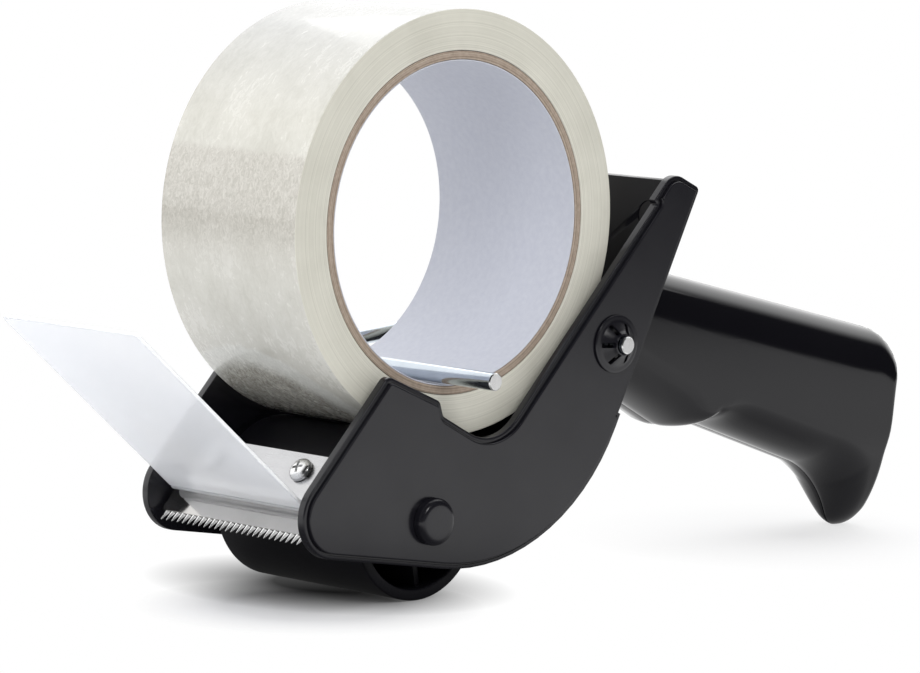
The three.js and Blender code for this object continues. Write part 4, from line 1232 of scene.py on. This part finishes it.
def within(mix, value, rise, fall):
    """1 between two soft borders, 0 outside them."""
    return mix.times(mix.between(value, 0.0, 1.0, *rise), mix.between(value, 1.0, 0.0, *fall))


def tape_outside():
    """Milky film; its crown is painted darker as shade on the top and is more neutral in tone. It has a hazy
    band on the front and a dark patch low down.
    """
    mix = Finish("tape_outside", Specular_IOR_Level=0.45, Coat_Weight=0.35, Coat_Roughness=0.05)
    long_streaks = mix.add("ShaderNodeMapping", {"Vector": turning_uv(mix), "Scale": (10, 300, 1)})
    streak = mix.noise(long_streaks.outputs["Vector"], 1, 4, 0.6)
    cloud = mix.noise(mix.where(), 60, 5, 0.6)
    mottle = mix.noise(mix.where((1, 1.6, 1)), 380, 5, 0.7, 1.0)
    ragged = mix.noise(mix.where(), 210, 6, 0.7)
    fibre = mix.noise(mix.where((1, 1.5, 1)), 620, 5, 0.75, 1.4)
    mixed = mix.sum_of(mix.times(streak, 0.16), mix.times(cloud, 0.44), mix.times(mottle, 0.40))
    around = along_of(mix, turning_uv(mix), "X")
    across = along_of(mix, mix.where(), "Y")

    milky_stops = [(0.38, (0.53, 0.52, 0.465)), (0.52, (0.62, 0.61, 0.555)), (0.64, (0.69, 0.68, 0.63))]
    milky = mix.colours(mixed, milky_stops)
    # Painted shade: the crown gets a darker, more neutral tone than the rest of the film.
    painted_darker_crown = mix.colours(mixed, [(0.38, (0.40, 0.40, 0.385)), (0.64, (0.54, 0.54, 0.525))])
    milky = mixed_colour(mix, within(mix, around, PAINTED_CROWN_FROM, PAINTED_CROWN_TO), milky, painted_darker_crown)

    shaken = mix.sum_of(around, mix.times(ragged, 0.004))
    band = mix.colours(fibre, [(0.4, (0.42, 0.40, 0.355)), (0.62, (0.62, 0.60, 0.55))])
    tone = mixed_colour(mix, mix.times(within(mix, shaken, BAND_TOP, BAND_FOOT), 0.8), milky, band)

    long_way = mix.times(mix.times(around, PATCH_AT, "SUBTRACT"), 1 / PATCH_LONG)
    wide_way = mix.times(mix.times(across, PATCH_Y, "SUBTRACT"), 1 / PATCH_WIDE)
    place = mix.add("ShaderNodeCombineXYZ", {"X": long_way, "Y": wide_way}).outputs[0]
    reach = mix.sum_of(length_of(mix, place), mix.times(ragged, 0.22))
    inside = mix.between(reach, 1.0, 0.0, 1.08, 1.12)
    deep = mix.between(reach, 1.0, 0.0, 0.78, 0.94)
    hazy = mix.colours(fibre, [(0.38, (0.60, 0.60, 0.56)), (0.62, (0.76, 0.76, 0.71))])
    dark_stops = [(0.38, (0.22, 0.205, 0.175)), (0.5, (0.40, 0.385, 0.34)), (0.62, (0.66, 0.645, 0.58))]
    patch = mixed_colour(mix, deep, hazy, mix.colours(fibre, dark_stops))
    mix.set("Base Color", mixed_colour(mix, mix.times(inside, 0.9), tone, patch))

    mix.set("Roughness", mix.between(mixed, 0.16, 0.34))
    mix.bump(mix.sum_of(mix.times(streak, 0.5), mix.times(mottle, 0.5)), 0.03, 0.4)
    return mix.material


def layered(name, light, dark, pitch, rough, fuzz, depth):
    """Edges of wound layers: noise of the distance from the axis, with a little cloud over it."""
    mix = Finish(name, Specular_IOR_Level=0.35)
    centre = spot(roll_axis, 0)
    distance = length_of(mix, mix.where((1, 0, 1), (-centre.x, 0, -centre.z)))
    rings = mix.add("ShaderNodeCombineXYZ", {"X": distance})
    lines = mix.noise(rings.outputs[0], pitch, 3, 0.7)
    cloud = mix.noise(mix.where(), fuzz, 5, 0.65)
    both = mix.sum_of(mix.times(lines, 0.75), mix.times(cloud, 0.25))
    middle = tuple((a + b) / 2 for a, b in zip(light, dark))
    mix.set("Base Color", mix.colours(both, [(0.38, dark), (0.5, middle), (0.62, light)]))
    mix.set("Roughness", mix.between(cloud, rough, rough + 0.12))
    mix.bump(both, depth)
    return mix.material


def lining_paper():
    mix = Finish("lining_paper", Specular_IOR_Level=0.3, Roughness=0.6)
    fibre = mix.noise(mix.where(), 700, 4, 0.6)
    white = mix.colours(fibre, [(0.3, (0.515, 0.53, 0.593)), (0.7, (0.562, 0.577, 0.632))])
    from_joint = mix.times(along_of(mix, turning_uv(mix), "X"), JOINT_AT, "SUBTRACT")
    from_joint = mix.times(from_joint, 0.0, "ABSOLUTE")
    joint = mix.between(from_joint, 0.55, 1.0, JOINT_HALF, 3 * JOINT_HALF)
    shade = mix.add("ShaderNodeVectorMath", {0: white, "Scale": joint}, operation="SCALE")
    mix.set("Base Color", shade.outputs[0])
    mix.bump(fibre, 0.02)
    return mix.material


LAYER_PITCH = 2600
tape_outer = tape_outside()
tape_edge = layered("tape_sides", (0.64, 0.628, 0.555), (0.46, 0.45, 0.39), LAYER_PITCH, 0.30, 55, 0.012)
card = layered("card", (0.43, 0.355, 0.29), (0.18, 0.135, 0.10), LAYER_PITCH, 0.8, 900, 0.08)
paper = lining_paper()
print("finishes of the roll ready")

# %% Make the three rings
TAPE_BORE, CARD_THICK, PAPER_THICK = 40.5, 1.95, 0.25


def ring(name, inner, outer, width, rounding):
    middle, half = (inner + outer) / 2, width / 2
    corners = [(middle, -half), (outer, -half), (outer, half), (inner, half), (inner, -half), (middle, -half)]
    return lathe(name, rounded_profile(corners, rounding)[:-1], roll_axis, 192, closed=True)


wound = dress(ring("tape_winding", TAPE_BORE, roll_r, tape_width, 0.3), tape_outer, tape_edge)
for polygon in wound.data.polygons:
    polygon.material_index = 1 if abs(polygon.normal.y) > 0.6 else 0
finish_piece(wound, "roll", "tape", "wound_tape")
core = ring("card_ring", core_r - CARD_THICK, core_r, tape_width, 0.25)
finish_piece(dress(core, card), "roll", "card", "card_core")
liner = ring("paper_lining", hole_r - PAPER_THICK, hole_r, size_mm("core_liner").y, 0.08)
finish_piece(dress(liner, paper), "roll", "paper", "core_liner")

# %% [markdown]
# ## Stage, light and camera
# The dispenser stands on a pale floor that runs out to white. A glossy black face shows what it mirrors, so
# the mirrored room is what gives the plastic its form. What glossy faces see of the floor is a painted glow,
# not the lit floor: bright close by and falling off with distance, with painted shade under the drum and the
# grip's tip. The room in front is dark, and the wall behind is white. The camera, and anything seen through
# the clear flap, gets plain white instead of that room.

# %% Levels of the light
FLOOR_FILL, DIFFUSE_FILL = 0.04, 0.50
# FLOOR_NEAR and FLOOR_FAR set the painted glow that glossy faces mirror, by distance from the middle.
FLOOR_NEAR = [(0.0, 1.12), (0.20, 1.12), (0.25, 1.0)]
FLOOR_FAR = [(0.30, 0.62), (0.375, 0.15), (0.5, 0.05), (0.8, 0.03)]
HALF_METRES = 0.5
WALL_FROM, WALL_TO, ROOM_DARK, WALL_BRIGHT = -0.11, 0.26, 0.02, 1.3
print("fill", FLOOR_FILL, "mirrored floor", FLOOR_NEAR + FLOOR_FAR)

# %% [markdown]
# Soft shades lie on the floor under the drum and under the grip's tip. Where the camera sees the floor, they
# are its own cast shadow, which shows only near the drum and the tip and turns to plain white further out,
# and a dark contact shadow right under the drum is painted into the floor. What glossy faces mirror is a
# painted glow, so the mirrored shades are painted shade. Each is named by its place and by its range: how
# dark it is at the heart and at its border, and how far out both of them are. The seen shades and the
# mirrored ones differ, because the mirrored floor is much nearer to white.

# %% Shades on the floor
DRUM_AT, TIP_AT = (-0.073, -0.012), (0.100, -0.004)
SEEN_AT_DRUM, SEEN_AT_TIP = (0.0, 1.0, 0.0205, 0.041), (0.45, 1.0, 0.0, 0.06)
MIRRORED_AT_DRUM, MIRRORED_AT_TIP = (0.06, 1.0, 0.045, 0.13), (0.38, 1.0, 0.012, 0.068)
# Painted contact shadow: a dark spot painted into the floor under the drum.
PAINTED_CONTACT_SHADE_AT, PAINTED_CONTACT_SHADE_STRETCH, PAINTED_CONTACT_SHADE = (-0.048, 0.010), (31, 24, 0), (0.065, 1.0, 0.36, 1.22)
FLOOR_REACH = 6.0

# %% Floor
floor_mesh = bpy.data.meshes.new("floor")
corners = rectangle(-FLOOR_REACH, -FLOOR_REACH, FLOOR_REACH, FLOOR_REACH)
floor_mesh.from_pydata([(p.real, p.imag, 0) for p in corners], [], [(0, 1, 2, 3)])
floor = object_from("floor", floor_mesh)
pale = Finish("pale_floor", Base_Color=(0.74, 0.74, 0.75, 1), Roughness=0.7, Specular_IOR_Level=0.2)
ways = pale.add("ShaderNodeLightPath").outputs


def away_from(x, y, stretch=(1, 1, 1)):
    """Distance along the floor from a spot near the dispenser, in metres unless stretched."""
    place = pale.where(shift=(-x, -y, 0))
    longer = pale.add("ShaderNodeVectorMath", {0: place, 1: stretch}, operation="MULTIPLY")
    return length_of(pale, longer.outputs[0])


def glowing(strength):
    return pale.add("ShaderNodeEmission", {"Color": (1, 1, 1, 1), "Strength": strength}).outputs[0]


def blended(share, a, b):
    return pale.add("ShaderNodeMixShader", {"Fac": share, 1: a, 2: b}).outputs[0]


lit = pale.add("ShaderNodeAddShader", {0: pale.shader.outputs[0], 1: glowing(FLOOR_FILL)}).outputs[0]
# Painted contact shadow under the drum: the floor turns black there, whatever the light.
painted_contact_shade = pale.between(away_from(*PAINTED_CONTACT_SHADE_AT, PAINTED_CONTACT_SHADE_STRETCH), *PAINTED_CONTACT_SHADE)
at_drum, at_tip = away_from(*DRUM_AT), away_from(*TIP_AT)
# The seen floor shows its own cast shadow only near the drum and the tip, and plain white further out.
seen_shade = pale.times(pale.between(at_drum, *SEEN_AT_DRUM), pale.between(at_tip, *SEEN_AT_TIP))
seen = blended(painted_contact_shade, glowing(0.0), blended(seen_shade, lit, glowing(1.0)))
# Painted shade in reflections: the mirrored floor is darkened under the drum and under the grip's tip.
shade = pale.times(pale.between(at_drum, *MIRRORED_AT_DRUM), pale.between(at_tip, *MIRRORED_AT_TIP))
falling = [(place, (value, value, value)) for place, value in FLOOR_NEAR + FLOOR_FAR]
distant = pale.colours(pale.times(away_from(0, 0), HALF_METRES), falling)
# Painted glow: glossy rays see this emission instead of the lit floor, with the painted shade above.
mirrored = glowing(pale.times(distant, shade))
plain = blended(ways["Is Glossy Ray"], seen, mirrored)
clear_or_camera = pale.times(ways["Is Camera Ray"], ways["Is Transmission Ray"], "MAXIMUM")
pale.tree.links.new(blended(clear_or_camera, plain, seen), pale.output.inputs["Surface"])
dress(floor, pale.material)

# %% World
world = bpy.data.worlds.new("studio")
bpy.context.scene.world = world
world.use_nodes = True
sky = world.node_tree
backdrop = sky.nodes["Background"].inputs


def sky_math(operation, a, b):
    return add_node(sky, "ShaderNodeMath", {0: a, 1: b}, operation=operation).outputs[0]


looking = add_node(sky, "ShaderNodeTexCoord").outputs["Generated"]
across = add_node(sky, "ShaderNodeSeparateXYZ", {0: looking}).outputs["Y"]
wall_range = {0: across, 1: WALL_FROM, 2: WALL_TO, 3: ROOM_DARK, 4: WALL_BRIGHT}
wall = add_node(sky, "ShaderNodeMapRange", wall_range, interpolation_type="SMOOTHSTEP").outputs["Result"]
rays = add_node(sky, "ShaderNodeLightPath").outputs
level = sky_math("MAXIMUM", wall, sky_math("MULTIPLY", rays["Is Diffuse Ray"], DIFFUSE_FILL))
level = sky_math("MAXIMUM", level, rays["Is Camera Ray"])
level = sky_math("MAXIMUM", level, rays["Is Transmission Ray"])
sky.links.new(level, backdrop["Strength"])
backdrop["Color"].default_value = (1, 1, 1, 1)
print("floor and world ready")

# %% Lamps
LAMPS = {
    "overhead": ((0.45, 0.25, 1.0), (0, 0, 0.05), (1.3, 1.1), 6, True),
    "left_fill": ((-1.1, -0.5, 0.7), (0, 0, 0.06), (0.5, 0.5), 4.5, False),
    "front_top": ((-0.10, -0.36, 0.44), (0, 0, 0.06), (0.5, 0.5), 0.95, False),
    "glint": ((-0.12, -0.95, 0.62), (0, 0, 0.05), (0.30, 0.22), 1.2, True),
}
for name, (place, aim, size, power, mirrored_too) in LAMPS.items():
    lamp = bpy.data.lights.new(name, "AREA")
    lamp.shape, lamp.energy = "RECTANGLE", power
    lamp.size, lamp.size_y = size
    soft_box = object_from(name, lamp)
    soft_box.location = place
    soft_box.rotation_euler = (Vector(aim) - Vector(place)).to_track_quat("-Z", "Y").to_euler()
    soft_box.visible_glossy = mirrored_too
print("lamps:", list(LAMPS))

# %% [markdown]
# The camera looks a little down at the near side, from the cutter's end. Its place is measured from
# the middle of the roll, and a long lens keeps the two plates almost parallel.

# %% Camera
CAMERA_TURN, CAMERA_RISE, CAMERA_TILT = (math.radians(a) for a in (-42.796, 6.343, 0.982))
FROM_ROLL, LENS, SENSOR = Vector((-0.7964, -0.8858, 0.1037)), 196.6, 36
camera = object_from("camera", bpy.data.cameras.new("camera"))
bpy.context.scene.camera = camera
back = Vector((
    math.sin(CAMERA_TURN) * math.cos(CAMERA_RISE),
    -math.cos(CAMERA_TURN) * math.cos(CAMERA_RISE),
    math.sin(CAMERA_RISE),
))
right = Vector((math.cos(CAMERA_TURN), math.sin(CAMERA_TURN), 0))
up = back.cross(right)
tilted = right * math.cos(CAMERA_TILT) + up * math.sin(CAMERA_TILT)
up = up * math.cos(CAMERA_TILT) - right * math.sin(CAMERA_TILT)
camera.matrix_world = Matrix((tilted, up, back)).transposed().to_4x4()
roll_middle = Vector((joints["roll_spin"].x, mid.y, joints["roll_spin"].z))
camera.location = roll_middle + FROM_ROLL
camera.data.lens, camera.data.sensor_width = LENS, SENSOR
camera.data.clip_start = 0.05
bpy.context.scene.view_settings.view_transform = "Standard"
print("camera at", [round(v, 4) for v in camera.location])

# %% Count of the pieces made
print("pieces made:", len(made))
